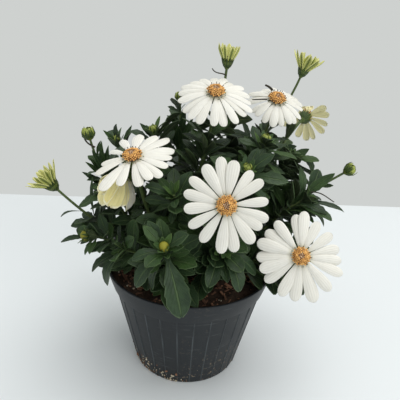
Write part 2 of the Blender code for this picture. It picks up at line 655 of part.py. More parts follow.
def face_space(head):
    """The air in front of an open flower, as a short cylinder."""
    reach = head["reach"] * 0.85
    profile = [(0, 1.0), (reach, 1.0), (reach, FACE_CLEAR), (0, FACE_CLEAR)]
    return turned([(r * MM, z * MM) for r, z in profile], even_angles(12),
                  Vector(head["centre"]) * MM, Vector(head["facing"]))


def make_opening_bud(name, bud, materials, room):
    """A half-open bud: a green cup with a crown of narrow petals standing on it."""
    centre, facing = Vector(bud["centre"]), Vector(bud["facing"]).normalized()
    calyx(name + "_calyx", centre, facing, -0.9, 5.1, bud["cup"], 1.3, materials["green"], room)
    ring = bud["cup"] * 0.86
    stations = []
    for share, wide in ((0.7, 1.0), (1.0, 0.4)):
        lean = math.radians(bud["lean"])
        stations.append(((ring + bud["reach"] * share * math.sin(lean)) * MM,
                         (-0.2 + bud["reach"] * share * math.cos(lean)) * MM,
                         1.45 * wide * MM, 0.4 * MM))
    verts, faces = petal_ring(centre * MM, facing, bud["petals"], ring * 0.45 * MM, ring * MM,
                              [-0.55 * MM, 0.25 * MM], stations, 0.0)
    add_object(name + "_petals", verts, faces, materials["bud_petal"])
    room.add(verts, faces, name + "_petals")


def make_closed_bud(name, bud, materials, room):
    length, radius = bud["length"], bud["radius"]
    profile = [(0, 0), (1.3, 0), (radius * 0.9, length * 0.24), (radius, length * 0.45),
               (radius * 0.82, length * 0.75), (radius * 0.5, length * 0.95), (0, length)]
    verts, faces = turned([(r * MM, z * MM) for r, z in profile], even_angles(10),
                          Vector(bud["foot"]) * MM, Vector(bud["facing"]))
    add_object(name, verts, faces, materials["green"], math.radians(50))
    room.add(verts, faces, name)


def make_shoot(name, path, leaves, materials):
    """One shoot as one solid: the stem joined to its leaves, and to the small bud at its tip."""
    shoot = SHOOTS[name]
    verts, faces = tube(path, shoot["radius"] * MM)
    stem = add_object(name + "_shoot", verts, faces, materials["leaf"], math.radians(50))
    verts, faces = [], []
    shapes = [blade(foot, middle, tip, width, upper) for foot, middle, tip, upper, width in leaves]
    if "bud" in shoot:
        aim = Vector(shoot["aim"]).normalized()
        radius = shoot["bud"]
        profile = [(0, -1.0), (1.2, -1.0), (radius, radius * 0.8), (radius * 0.8, radius * 1.7),
                   (0, radius * 2.0)]
        shapes.append(turned([(r * MM, z * MM) for r, z in profile], even_angles(8), path[-1], aim))
    for shape_verts, shape_faces in shapes:
        offset = len(verts)
        verts += shape_verts
        faces += [tuple(offset + i for i in face) for face in shape_faces]
    blades = as_helper(add_object(name + "_blades", verts, faces, materials["leaf"]))
    join = stem.modifiers.new("grown_together", "BOOLEAN")
    join.operation = "UNION"
    join.object = blades
    join.use_self = True


def box_shape(low, high):
    verts = [Vector((x, y, z)) * MM for z in (low[2], high[2]) for y in (low[1], high[1])
             for x in (low[0], high[0])]
    faces = [(0, 2, 3, 1), (4, 5, 7, 6), (0, 1, 5, 4), (2, 6, 7, 3), (0, 4, 6, 2), (1, 3, 7, 5)]
    return verts, faces


def main():
    for obj in list(bpy.data.objects):
        bpy.data.objects.remove(obj)
    materials = {
        "pot": colour_material("pot_plastic", (0.022, 0.027, 0.032), 0.5),
        "soil": colour_material("peat", (0.030, 0.016, 0.010), 0.95),
        "wood": colour_material("woody_stem", (0.10, 0.075, 0.035), 0.8),
        "leaf": colour_material("leaf_green", (0.030, 0.075, 0.025), 0.55),
        "green": colour_material("calyx_green", (0.10, 0.16, 0.03), 0.6),
        "petal": colour_material("white_petal", (0.85, 0.84, 0.78), 0.5),
        "bud_petal": colour_material("bud_petal", (0.55, 0.57, 0.12), 0.5),
        "disc": colour_material("disc_orange", (0.45, 0.19, 0.03), 0.7),
    }
    room = Room()
    room.add(*make_pot(materials["pot"]), "pot")
    room.add(*make_soil(materials["soil"]), "soil")
    room.add(*make_crown(materials["wood"]), "crown")
    for name, (low, high) in OPEN_SPOTS.items():
        room.add(*box_shape(low, high), name)
    for name, head in HEADS.items():
        make_head(name, head, materials, room)
        room.add(*face_space(head), "face_space")
    for name, bud in OPENING_BUDS.items():
        make_opening_bud(name, bud, materials, room)
    for name, bud in CLOSED_BUDS.items():
        make_closed_bud(name, bud, materials, room)
    paths = shoot_paths()
    for name, path in paths.items():
        room.add(*tube(path, SHOOTS[name]["radius"] * MM), name + "_shoot")
    plan = leaf_plan(paths, room)
    for name, path in paths.items():
        make_shoot(name, path, plan[name], materials)


main()
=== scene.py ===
import math
import random

import bpy
import numpy as np
from mathutils import Matrix, Vector, noise
from mathutils.bvhtree import BVHTree
from mathutils.geometry import interpolate_bezier


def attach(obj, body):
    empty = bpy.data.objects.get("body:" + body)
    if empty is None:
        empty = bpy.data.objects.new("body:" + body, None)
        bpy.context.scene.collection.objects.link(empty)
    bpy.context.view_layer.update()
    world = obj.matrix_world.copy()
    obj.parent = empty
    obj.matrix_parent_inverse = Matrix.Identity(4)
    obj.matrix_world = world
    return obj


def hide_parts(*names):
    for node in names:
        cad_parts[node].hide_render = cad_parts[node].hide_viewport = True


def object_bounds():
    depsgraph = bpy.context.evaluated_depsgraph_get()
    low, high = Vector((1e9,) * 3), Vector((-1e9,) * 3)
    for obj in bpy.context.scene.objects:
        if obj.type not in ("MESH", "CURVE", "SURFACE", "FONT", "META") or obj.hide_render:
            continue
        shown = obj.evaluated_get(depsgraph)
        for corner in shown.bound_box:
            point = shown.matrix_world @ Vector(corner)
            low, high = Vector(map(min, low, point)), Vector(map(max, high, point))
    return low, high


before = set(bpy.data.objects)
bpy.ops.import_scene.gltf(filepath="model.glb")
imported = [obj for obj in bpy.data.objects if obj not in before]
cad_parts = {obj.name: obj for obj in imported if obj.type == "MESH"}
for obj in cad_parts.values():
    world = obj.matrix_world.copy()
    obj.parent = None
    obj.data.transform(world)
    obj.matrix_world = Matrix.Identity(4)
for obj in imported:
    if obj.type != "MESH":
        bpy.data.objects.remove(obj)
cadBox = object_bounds()
mm = 0.001
airGap = 0.35 * mm  # the frame keeps this much air between pieces that rest on each other
up = Vector((0, 0, 1))
dice = random.Random(12)
print("frame loaded:", len(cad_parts), "nodes")


# small tools for modelling

def pickNothing():
    bpy.ops.object.select_all(action="DESELECT")


def pick(piece):
    pickNothing()
    piece.select_set(True)
    bpy.context.view_layer.objects.active = piece


def wear(piece, *finishes):
    piece.data.materials.clear()
    for finish in finishes:
        piece.data.materials.append(bpy.data.materials[finish])


def applyModifier(piece, kind, **settings):
    pick(piece)
    bpy.ops.object.modifier_add(type=kind)
    modifier = piece.modifiers[-1]
    for key, value in settings.items():
        setattr(modifier, key, value)
    bpy.ops.object.modifier_apply(modifier=modifier.name)


def smooth(piece, degrees=60):
    pick(piece)
    bpy.ops.object.shade_smooth_by_angle(angle=math.radians(degrees))


def tidyNormals(piece):
    pick(piece)
    bpy.ops.object.mode_set(mode="EDIT")
    bpy.ops.mesh.select_all(action="SELECT")
    bpy.ops.mesh.remove_doubles(threshold=1e-6)
    bpy.ops.mesh.normals_make_consistent(inside=False)
    bpy.ops.object.mode_set(mode="OBJECT")


def joinUp(copies, name):
    pickNothing()
    for copy in copies:
        copy.select_set(True)
    bpy.context.view_layer.objects.active = copies[0]
    if len(copies) > 1:
        bpy.ops.object.join()
    joined = bpy.context.view_layer.objects.active
    joined.name = joined.data.name = name
    return joined


def settle(copies, name, slot, *nodes):  # one finished piece out of all its copies
    piece = joinUp(copies, name)
    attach(piece, "root")
    if nodes:
        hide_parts(*nodes)


def camel(name):
    first, *rest = name.split("_")
    return first + "".join(word.capitalize() for word in rest)


def axesOf(direction):
    side = direction.orthogonal().normalized()
    return side, direction.cross(side).normalized()


def outAt(axes, angle):
    return axes[0] * math.cos(angle) + axes[1] * math.sin(angle)


def turnTo(axis):
    return Matrix((*axesOf(axis), axis)).transposed().to_4x4()


def copyOf(pattern, tone):
    copy = pattern.copy()
    copy.data = pattern.data.copy()
    bpy.context.scene.collection.objects.link(copy)
    tones = np.full(len(copy.data.vertices), tone)
    copy.data.attributes["tone"].data.foreach_set("value", tones)
    return copy


def placeCopy(pattern, matrix, tone):
    copy = copyOf(pattern, tone)
    copy.data.transform(matrix)
    return copy


def turnedBody(profile, columns):
    # a ring is extruded and resized from level to level, then both ends are filled
    pickNothing()
    radius, height = profile[0]
    bpy.ops.mesh.primitive_circle_add(vertices=columns, radius=radius * mm,
                                      location=(0, 0, height * mm))
    body = bpy.context.object
    bpy.ops.object.transform_apply(location=True, rotation=True, scale=True)
    bpy.ops.object.mode_set(mode="EDIT")
    bpy.ops.mesh.select_all(action="SELECT")
    bpy.ops.mesh.edge_face_add()
    bpy.ops.mesh.select_all(action="SELECT")
    bpy.ops.mesh.duplicate()
    bpy.ops.mesh.delete(type="ONLY_FACE")
    bpy.ops.object.mode_set(mode="OBJECT")
    for vertex in body.data.vertices:
        vertex.select = vertex.index >= columns
    bpy.ops.object.mode_set(mode="EDIT")
    for nextRadius, nextHeight in profile[1:]:
        bpy.ops.mesh.extrude_region_move(
            TRANSFORM_OT_translate={"value": (0, 0, (nextHeight - height) * mm)})
        bpy.ops.transform.resize(value=(nextRadius / radius, nextRadius / radius, 1))
        radius, height = nextRadius, nextHeight
    bpy.ops.mesh.edge_face_add()
    bpy.ops.object.mode_set(mode="OBJECT")
    tidyNormals(body)
    return body


def standingBody(profile, columns, origin, axis, finish):
    body = turnedBody(profile, columns)
    body.data.transform(Matrix.Translation(origin) @ turnTo(axis))
    wear(body, finish)
    smooth(body)
    return body


tubeShape = {"steps": 20, "roundness": 2}


def growTube(points, thickness, finish):
    # one smooth curve through its ends and their handles, thick at the foot and thin at the end
    pickNothing()
    bpy.ops.curve.primitive_bezier_curve_add()
    curve = bpy.context.object
    start, startHandle, endHandle, end = points
    first, last = curve.data.splines[0].bezier_points
    for knot in (first, last):
        knot.handle_left_type = knot.handle_right_type = "FREE"
    first.co, first.handle_right, first.handle_left = start, startHandle, start * 2 - startHandle
    last.co, last.handle_left, last.handle_right = end, endHandle, end * 2 - endHandle
    first.radius, last.radius = 1.0, thickness[1] / thickness[0]
    curve.data.resolution_u = tubeShape["steps"]
    curve.data.bevel_depth = thickness[0] * mm
    curve.data.bevel_resolution = tubeShape["roundness"]
    curve.data.use_fill_caps = True
    bpy.ops.object.convert(target="MESH")
    tube = bpy.context.object
    tidyNormals(tube)
    wear(tube, finish)
    smooth(tube)
    return tube


# a strip is a leaf, petal or bract laid flat: 1 wide each way, 1 long, then bent along a curve

def makeStrip(outline, columns, thick, rise, top, back, notch=0.0):
    pickNothing()
    rows = len(outline) - 1
    bpy.ops.mesh.primitive_grid_add(x_subdivisions=columns, y_subdivisions=rows, size=2)
    strip = bpy.context.object
    for vertex in strip.data.vertices:
        place, wide = outline[round((vertex.co.y + 1) / 2 * rows)]
        across = vertex.co.x
        nick = notch * max(0.0, place - 0.9) * 10 * (1 - abs(across))  # in the last tenth only
        vertex.co = (across * wide, place - nick, rise(across, place) * wide)
    wear(strip, top, back)
    applyModifier(strip, "SOLIDIFY", thickness=thick, offset=-1.0, material_offset=1)
    smooth(strip, 55)
    strip.data.attributes.new("tone", "FLOAT", "POINT")
    return strip


def bendStrip(pattern, foot, middle, tip, upper, half, tone, wave=0.0):
    copy = copyOf(strips[pattern], tone)
    flat = np.empty(len(copy.data.vertices) * 3)
    copy.data.vertices.foreach_get("co", flat)
    across, place, lift = flat.reshape(-1, 3).T
    foot, middle, tip, upper = (np.array(v) for v in (foot, middle, tip, upper))
    t = place[:, None]
    point = foot * (1 - t) ** 2 + middle * 2 * t * (1 - t) + tip * t ** 2
    along = (middle - foot) * (1 - t) + (tip - middle) * t
    along /= np.linalg.norm(along, axis=1)[:, None]
    sideways = np.cross(along, upper)
    sideways /= np.linalg.norm(sideways, axis=1)[:, None]
    normal = np.cross(sideways, along)
    ripple = wave * np.sin(place * 7 + tone * 20) * np.abs(across)
    bent = (point + sideways * (across * half)[:, None]
            + normal * ((lift + ripple) * half)[:, None])
    copy.data.vertices.foreach_set("co", bent.ravel())
    copy.data.update()
    return copy


# small tools for the finishes

def rgb(*levels):
    channels = [level / 255 for level in levels]
    return (*(c / 12.92 if c < 0.04045 else ((c + 0.055) / 1.055) ** 2.4 for c in channels), 1.0)


def startLook(name, roughness, **sockets):
    look = bpy.data.materials.new(name)
    look.use_nodes = True
    shader = look.node_tree.nodes["Principled BSDF"]
    for key, value in {"Roughness": roughness, **sockets}.items():
        shader.inputs[key.replace("_", " ")].default_value = value
    return look.node_tree


def addNode(tree, kind, inputs=None, **settings):
    made = tree.nodes.new(kind)
    for key, value in settings.items():
        setattr(made, key, value)
    for key, value in (inputs or {}).items():
        if isinstance(value, bpy.types.NodeSocket):
            tree.links.new(value, made.inputs[key])
        else:
            made.inputs[key].default_value = value
    return made


def joinSocket(tree, output, name):
    tree.links.new(output, tree.nodes["Principled BSDF"].inputs[name])


def coat(tree, colour, relief, strength, depth):
    bump = addNode(tree, "ShaderNodeBump",
                   {"Height": relief, "Strength": strength, "Distance": depth})
    joinSocket(tree, colour, "Base Color")
    joinSocket(tree, bump.outputs["Normal"], "Normal")


def noiseOf(tree, place, scale, detail=4.0):
    return addNode(tree, "ShaderNodeTexNoise", {"Vector": place, "Scale": scale, "Detail": detail,
                                                "Roughness": 0.6}).outputs["Fac"]


def sums(tree, operation, *values):
    return addNode(tree, "ShaderNodeMath", dict(enumerate(values)), operation=operation).outputs[0]


def times(tree, first, second):
    return sums(tree, "MULTIPLY", first, second)


def mixIn(tree, first, share, second):
    return sums(tree, "MULTIPLY_ADD", first, share, second)


def stepUp(tree, value, low, high, outLow=0.0, outHigh=1.0):
    return addNode(tree, "ShaderNodeMapRange",
                   {"Value": value, "From Min": low, "From Max": high, "To Min": outLow,
                    "To Max": outHigh}, interpolation_type="SMOOTHSTEP").outputs["Result"]


def blendOf(tree, factor, *colours):
    first, second = (colour if isinstance(colour, bpy.types.NodeSocket) else rgb(*colour)
                     for colour in colours)
    return addNode(tree, "ShaderNodeMix", {0: factor, 6: first, 7: second},
                   data_type="RGBA").outputs[2]


def placeIn(tree):
    return addNode(tree, "ShaderNodeTexCoord").outputs["Object"]


def attributeOf(tree, name):
    return addNode(tree, "ShaderNodeAttribute", attribute_name=name).outputs["Fac"]


def placeAndTone(tree):
    return placeIn(tree), attributeOf(tree, "tone")


def uvOf(tree):
    uv = addNode(tree, "ShaderNodeTexCoord").outputs["UV"]
    split = addNode(tree, "ShaderNodeSeparateXYZ", {"Vector": uv})
    return split.outputs["X"], split.outputs["Y"]


def fromMiddle(tree, u):
    return sums(tree, "ABSOLUTE", sums(tree, "SUBTRACT", u, 0.5))


# camera, light and floor

shot = {
    "place": (0.0056, -0.3154, 0.2773),
    "pitchDown": 23.75,
    "roll": 3.0,
    "sensor": 36.0,
    "focalShare": 1.15,  # focal length over the frame's width
    "nearClip": 0.01,
    "floorFar": ((-0.80, 0.275), (0.80, 0.350)),  # the table's far edge, as x and y
    "floorHalf": 4.0,
    "wall": (206, 209, 207),
    "floor": (226, 230, 233),
    "floorShade": 4,  # how much darker the floor's faint clouds are
    "lightsAimAt": (0.0, 0.0, 0.12),
    # each light's name, place, size, power and colour
    "lights": [("skylight", (0.30, 0.10, 1.40), 1.1, 10.9, (1.0, 0.995, 0.97)),
               ("windowLight", (0.8, -1.1, 0.9), 0.8, 6.2, (1.0, 0.99, 0.96))],
}


def setCamera():
    pitch, roll = math.radians(shot["pitchDown"]), math.radians(shot["roll"])
    ahead = Vector((0, math.cos(pitch), -math.sin(pitch)))
    right = Vector((1, 0, 0))
    above = right.cross(ahead)
    tiltedRight = right * math.cos(roll) + above * math.sin(roll)
    tiltedUp = above * math.cos(roll) - right * math.sin(roll)
    bpy.ops.object.camera_add()
    camera = bpy.context.object
    turn = Matrix((tiltedRight, tiltedUp, -ahead)).transposed().to_4x4()
    camera.matrix_world = Matrix.Translation(shot["place"]) @ turn
    camera.data.sensor_width = shot["sensor"]
    camera.data.lens = shot["sensor"] * shot["focalShare"]
    camera.data.clip_start = shot["nearClip"]
    camera.data.dof.use_dof = False
    bpy.context.scene.camera = camera


def setLight():
    world = bpy.data.worlds.new("studio")
    bpy.context.scene.world = world
    world.use_nodes = True
    background = world.node_tree.nodes["Background"]
    background.inputs["Color"].default_value = rgb(*shot["wall"])
    background.inputs["Strength"].default_value = 1.0
    for name, place, size, watts, colour in shot["lights"]:
        pickNothing()
        bpy.ops.object.light_add(type="AREA", location=place)
        lamp = bpy.context.object
        lamp.name = name
        lamp.data.size = size
        lamp.data.energy = watts
        lamp.data.color = colour
        aim = Vector(shot["lightsAimAt"]) - Vector(place)
        lamp.rotation_euler = aim.to_track_quat("-Z", "Y").to_euler()
    bpy.context.scene.view_settings.view_transform = "Standard"


def setFloor():
    tree = startLook("whiteTable", 0.55)
    clouds = noiseOf(tree, placeIn(tree), 3.0, 3.0)
    darker = [level - shot["floorShade"] for level in shot["floor"]]
    joinSocket(tree, blendOf(tree, clouds, darker, shot["floor"]), "Base Color")
    pickNothing()
    bpy.ops.mesh.primitive_plane_add(size=2)
    floor = bpy.context.object
    (leftX, leftY), (rightX, rightY) = shot["floorFar"]
    slope = (rightY - leftY) / (rightX - leftX)
    for vertex in floor.data.vertices:
        x = shot["floorHalf"] * vertex.co.x
        isNear = vertex.co.y < 0
        vertex.co = (x, -shot["floorHalf"] if isNear else leftY + slope * (x - leftX), 0)
    wear(floor, "whiteTable")
    floor.name = "tableTop"


setCamera()
setLight()
setFloor()
print("camera, light and floor are set")


# finishes of the plant; u runs across a leaf or petal and v along it, both from 0 to 1

leafFinish = {
    "specular": 0.32,
    "midrib": (0.02, 0.07), "sideVeins": 7.0, "sideSlant": 5.0, "sideWidth": 0.09,
    # the rim is a paler band along the leaf's edge: partly its edge vein, partly a painted
    # highlight
    "sideShare": 0.35, "rim": (0.455, 0.5), "rimHighlightShare": 0.30,
    "mottle": 300.0, "cloud": 90.0, "fine": 900.0,
    "cloudShare": 0.8, "mottleShare": 0.45, "contrast": (1.7, -0.95), "toneShare": 0.65,
    "sheenGreyGreen": (56, 74, 58), "sheenGreyShare": 0.45, "sheenGreyTones": (0.25, 0.75),  # low tones are greyed, a painted sheen
    "veinDepth": -0.7, "cloudHeight": 0.8, "fineHeight": 0.25,
    "bump": 0.8, "bumpDepth": 0.0012,
}


def leafLook(name, dark, light, veinAndRimHighlight, roughness, veinShare):
    f = leafFinish
    tree = startLook(name, roughness, Specular_IOR_Level=f["specular"])
    place, tone = placeAndTone(tree)
    u, v = uvOf(tree)
    fromRib = fromMiddle(tree, u)
    midrib = stepUp(tree, fromRib, *f["midrib"], 1.0, 0.0)
    slant = sums(tree, "SUBTRACT", times(tree, v, f["sideVeins"]),
                 times(tree, fromRib, f["sideSlant"]))
    sideVein = stepUp(tree, sums(tree, "PINGPONG", slant, 0.5), 0.0, f["sideWidth"], 1.0, 0.0)
    veins = sums(tree, "MAXIMUM", midrib, times(tree, sideVein, f["sideShare"]))
    mottle, cloud = noiseOf(tree, place, f["mottle"]), noiseOf(tree, place, f["cloud"], 2.0)
    mixed = mixIn(tree, cloud, f["cloudShare"], times(tree, mottle, f["mottleShare"]))
    shade = mixIn(tree, tone, f["toneShare"], mixIn(tree, mixed, *f["contrast"]))
    # painted sheen: leaves of low tone turn grey-green, as shiny leaves look at a grazing angle
    sheenGrey = stepUp(tree, tone, *f["sheenGreyTones"], f["sheenGreyShare"], 0.0)
    blade = blendOf(tree, shade, dark, blendOf(tree, sheenGrey, light, f["sheenGreyGreen"]))
    # the paler rim along the edge: partly the edge vein, partly a painted highlight
    rim = stepUp(tree, fromRib, *f["rim"], 0.0, f["rimHighlightShare"])
    veinsAndRimHighlight = sums(tree, "MAXIMUM", times(tree, veins, veinShare), rim)
    fine = noiseOf(tree, place, f["fine"], 2.0)
    relief = sums(tree, "ADD", times(tree, veins, f["veinDepth"]),
                  times(tree, fine, f["fineHeight"]))
    coat(tree, blendOf(tree, veinsAndRimHighlight, blade, veinAndRimHighlight), mixIn(tree, cloud, f["cloudHeight"], relief),
         f["bump"], f["bumpDepth"])


petalFinish = {
    "specular": 0.3, "roughness": 0.55,
    "glowDepth": 0.002, "glowColour": (1.0, 0.95, 0.8),
    "grooves": 5.0, "grooveWidth": 0.22, "grooveShare": 0.18,
    "throatEnd": 0.22, "throatShare": 0.75,
    "mottle": 220.0, "mottleShare": 0.5, "toneShare": 0.25,
    "grooveDepth": -0.7, "mottleHeight": 0.3, "bump": 0.45, "bumpDepth": 0.0005,
}


def petalLook(name, base, shaded, throat, groove, glow=0.12):
    f = petalFinish
    tree = startLook(name, f["roughness"], Specular_IOR_Level=f["specular"],
                     Subsurface_Weight=glow, Subsurface_Scale=f["glowDepth"],
                     Subsurface_Radius=f["glowColour"])
    place, tone = placeAndTone(tree)
    u, v = uvOf(tree)
    ribs = sums(tree, "PINGPONG", times(tree, u, f["grooves"]), 0.5)
    line = stepUp(tree, ribs, 0.0, f["grooveWidth"], 1.0, 0.0)
    mottle = noiseOf(tree, place, f["mottle"])
    paper = blendOf(tree, times(tree, mottle, f["mottleShare"]), base, shaded)
    toned = blendOf(tree, times(tree, tone, f["toneShare"]), paper, shaded)
    lined = blendOf(tree, times(tree, line, f["grooveShare"]), toned, groove)
    foot = stepUp(tree, v, 0.0, f["throatEnd"], f["throatShare"], 0.0)
    relief = sums(tree, "ADD", times(tree, line, f["grooveDepth"]),
                  times(tree, mottle, f["mottleHeight"]))
    coat(tree, blendOf(tree, foot, lined, throat), relief, f["bump"], f["bumpDepth"])


stripedFinish = {
    "specular": 0.35, "roughness": 0.5, "glow": 0.1, "glowDepth": 0.001,
    "band": (0.16, 0.38), "ragged": 0.12, "fade": (0.5, 1.05), "fadeTo": 0.45,
    "mottle": 420.0, "toneShare": 0.3, "bump": 0.4, "bumpDepth": 0.0003,
}


def stripedLook(name, base, stripe, share):
    # a bud's petal: pale along its edges, with one dark band up the middle
    f = stripedFinish
    tree = startLook(name, f["roughness"], Specular_IOR_Level=f["specular"],
                     Subsurface_Weight=f["glow"], Subsurface_Scale=f["glowDepth"],
                     Subsurface_Radius=petalFinish["glowColour"])
    place, tone = placeAndTone(tree)
    u, v = uvOf(tree)
    mottle = noiseOf(tree, place, f["mottle"])
    aside = mixIn(tree, mottle, f["ragged"], fromMiddle(tree, u))
    band = stepUp(tree, aside, *f["band"], 1.0, 0.0)
    fade = stepUp(tree, v, *f["fade"], 1.0, f["fadeTo"])
    amount = times(tree, times(tree, band, fade), share)
    toned = blendOf(tree, times(tree, tone, f["toneShare"]), base, stripe)
    coat(tree, blendOf(tree, amount, toned, stripe), sums(tree, "ADD", band, mottle), f["bump"],
         f["bumpDepth"])


grainFinish = {
    "specular": 0.3, "coarseShare": 0.6, "fineShare": 0.5, "fineTimes": 4.5, "darker": 0.3,
    "bump": 0.6,
}


def grainLook(name, low, high, scale, roughness, bumpDepth, toneShare=0.5):
    f = grainFinish
    tree = startLook(name, roughness, Specular_IOR_Level=f["specular"])
    place, tone = placeAndTone(tree)
    coarse, fine = noiseOf(tree, place, scale), noiseOf(tree, place, scale * f["fineTimes"], 3.0)
    grain = mixIn(tree, fine, f["fineShare"], times(tree, coarse, f["coarseShare"]))
    shade = mixIn(tree, tone, toneShare, sums(tree, "SUBTRACT", grain, f["darker"]))
    coat(tree, blendOf(tree, shade, low, high), grain, f["bump"], bumpDepth)


# colours are red, green and blue from 0 to 255
leafColours = {  # dark, light, vein colour, which also paints the highlight along the rim, roughness, how clear the veins are
    "leafTop": ((27, 47, 25), (56, 82, 38), (98, 120, 74), 0.46, 0.34),
    "leafBack": ((46, 60, 40), (84, 98, 66), (122, 134, 92), 0.65, 0.45),
    "youngLeaf": ((38, 66, 32), (84, 114, 52), (128, 150, 86), 0.5, 0.3),
    "bractGreen": ((46, 66, 28), (94, 114, 48), (140, 154, 86), 0.55, 0.3),
    "budBract": ((34, 54, 20), (80, 102, 40), (140, 152, 78), 0.5, 0.3),
}
petalColours = {  # base, shaded, throat, groove, how much light shines through
    "whitePetalTop": ((240, 238, 231), (216, 212, 200), (196, 194, 156), (190, 184, 168)),
    "whitePetalBack": ((232, 229, 206), (214, 208, 174), (186, 188, 128), (176, 168, 150)),
    "yellowPetalTop": ((246, 243, 214), (240, 232, 186), (206, 204, 120), (222, 214, 166)),
    # the pale backs of the yellow and cream petals are partly their own colour and partly painted
    # light that shines through them
    "yellowPetalBack": ((246, 235, 180), (234, 217, 138), (176, 184, 92), (208, 200, 136), 0.35),
    "creamPetalBack": ((252, 246, 232), (244, 232, 204), (222, 214, 160), (228, 214, 192), 0.5),
}
stripedColours = {  # base, stripe, how clear the stripe is
    "budPetalTop": ((220, 218, 148), (156, 162, 74), 0.5),
    "budPetalBack": ((184, 188, 104), (82, 96, 40), 0.85),
    "budInside": ((176, 186, 92), (84, 102, 40), 0.8),
}
grainColours = {  # low, high, scale, roughness, depth of the bumps, share of each copy's own tone
    "stemGreen": ((52, 70, 36), (116, 130, 74), 120.0, 0.6, 0.0004),
    "crownBark": ((48, 36, 26), (120, 104, 76), 140.0, 0.85, 0.0012),
    "discFlorets": ((158, 94, 40), (236, 182, 106), 500.0, 0.65, 0.0003, 0.8),
    "discCore": ((96, 58, 34), (150, 100, 62), 500.0, 0.7, 0.0003),
    "discHeart": ((150, 112, 80), (232, 204, 170), 500.0, 0.7, 0.0003, 0.9),
    "darkTip": ((44, 30, 28), (96, 66, 52), 500.0, 0.6, 0.0002),
    "budCore": ((70, 84, 28), (132, 140, 58), 500.0, 0.6, 0.0005),
    "budHeart": ((118, 120, 34), (176, 162, 56), 500.0, 0.6, 0.0005),
    "driedStalk": ((40, 36, 30), (80, 72, 56), 300.0, 0.8, 0.0002),
    "darkPeat": ((30, 22, 17), (104, 80, 63), 300.0, 0.95, 0.0016),
    "barkChip": ((58, 41, 33), (160, 118, 92), 300.0, 0.9, 0.0010),
    "paleGrit": ((150, 136, 112), (214, 206, 188), 240.0, 0.9, 0.0005),
}
for makeLook, colours in ((leafLook, leafColours), (petalLook, petalColours),
                          (stripedLook, stripedColours), (grainLook, grainColours)):
    for name, row in colours.items():
        makeLook(name, *row)


# patterns for leaves, petals and bracts: how far along, and how wide there

toothedOutline = [(0.0, 0.15), (0.18, 0.22), (0.33, 0.54), (0.44, 0.80), (0.48, 0.74),
                  (0.60, 0.98), (0.645, 0.90), (0.75, 0.98), (0.79, 0.88), (0.89, 0.70),
                  (0.96, 0.42), (1.0, 0.10)]
leafOutline = [(0.0, 0.15), (0.20, 0.20), (0.40, 0.60), (0.46, 0.56), (0.60, 0.96), (0.65, 0.86),
               (0.78, 0.86), (0.83, 0.70), (0.94, 0.34), (1.0, 0.04)]
plainOutline = [(0.0, 0.14), (0.25, 0.28), (0.46, 0.82), (0.62, 1.0), (0.80, 0.76), (0.93, 0.34),
                (1.0, 0.03)]
petalOutline = [(0.0, 0.22), (0.10, 0.32), (0.22, 0.50), (0.36, 0.70), (0.50, 0.86), (0.64, 0.97),
                (0.77, 1.0), (0.86, 0.94), (0.93, 0.78), (0.975, 0.52), (1.0, 0.16)]
budOutline = [(0.0, 0.6), (0.25, 0.85), (0.5, 1.0), (0.75, 0.9), (0.92, 0.55), (1.0, 0.15)]
bractOutline = [(0.0, 0.7), (0.3, 1.0), (0.6, 0.8), (0.85, 0.4), (1.0, 0.06)]


def leafRise(across, place):
    return 0.20 * abs(across) ** 1.3 - 0.03


def petalRise(across, place):
    return -0.26 * across ** 2 + 0.05 * math.cos(across * 9.4) * (1 - place * 0.4)


def bractRise(across, place):
    return -0.35 * across ** 2


strips = {name: makeStrip(*row) for name, row in {  # outline, columns, thickness, rise, finishes
    "bigLeaf": (toothedOutline, 4, 0.07, leafRise, "leafTop", "leafBack"),
    "leaf": (leafOutline, 2, 0.08, leafRise, "leafTop", "leafBack"),
    "plainLeaf": (plainOutline, 2, 0.09, leafRise, "leafTop", "leafBack"),
    "youngLeaf": (plainOutline, 2, 0.12, leafRise, "youngLeaf", "leafBack"),
    "white": (petalOutline, 6, 0.07, petalRise, "whitePetalTop", "whitePetalBack", 0.012),
    "yellow": (petalOutline, 6, 0.07, petalRise, "yellowPetalTop", "yellowPetalBack", 0.035),
    "cream": (petalOutline, 6, 0.07, petalRise, "yellowPetalTop", "creamPetalBack", 0.06),
    "bud": (budOutline, 4, 0.22, bractRise, "budPetalTop", "budPetalBack"),
    "budTip": (budOutline, 4, 0.22, bractRise, "budInside", "budInside"),
    "bractGreen": (bractOutline, 2, 0.25, bractRise, "bractGreen", "bractGreen"),
    "budBract": (bractOutline, 2, 0.25, bractRise, "budBract", "budBract"),
}.items()}
print("finishes and patterns are ready")


# the plan of the plant: the same tables and curves that the frame was made from, in millimetres

def rowsOf(columns, table):
    return {name: dict(zip(columns.split(), row)) for name, row in table.items()}


crownPlace = {"centre": Vector((-4.0, 4.0, 77.5)), "radius": 16.0}
heads = rowsOf("centre facing petals reach fall disc start", {
    "front": ((21.8, -62.0, 163.2), (-0.05, -0.93, 0.36), 16, 28.5, 3, (5.9, 3.6), 0.0),
    "low_right": ((74.4, -50.0, 123.8), (-0.1, -0.86, 0.5), 16, 28.5, 5, (5.7, 3.6), 4.0),
    "top": ((12.6, 0.0, 218.9), (0.03, -0.47, 0.88), 19, 27.5, 17, (5.8, 4.2), 9.0),
    "top_right": ((59.2, 30.0, 210.5), (0.05, -0.48, 0.87), 19, 23.5, 21, (6.2, 3.8), 3.0),
    "left": ((-39.8, -30.0, 180.2), (-0.12, -0.38, 0.92), 15, 28.0, 8, (6.1, 4.0), 7.0),
    "back_right": ((88.6, 61.0, 191.9), (0.47, 0.8, 0.2), 15, 21.0, 6, (5.0, 3.2), 0.0),
    "nodding": ((-49.5, -10.0, 158.0), (-0.42, -0.2, -0.88), 11, 27.0, -56, (4.6, 3.0), 12.0),
})
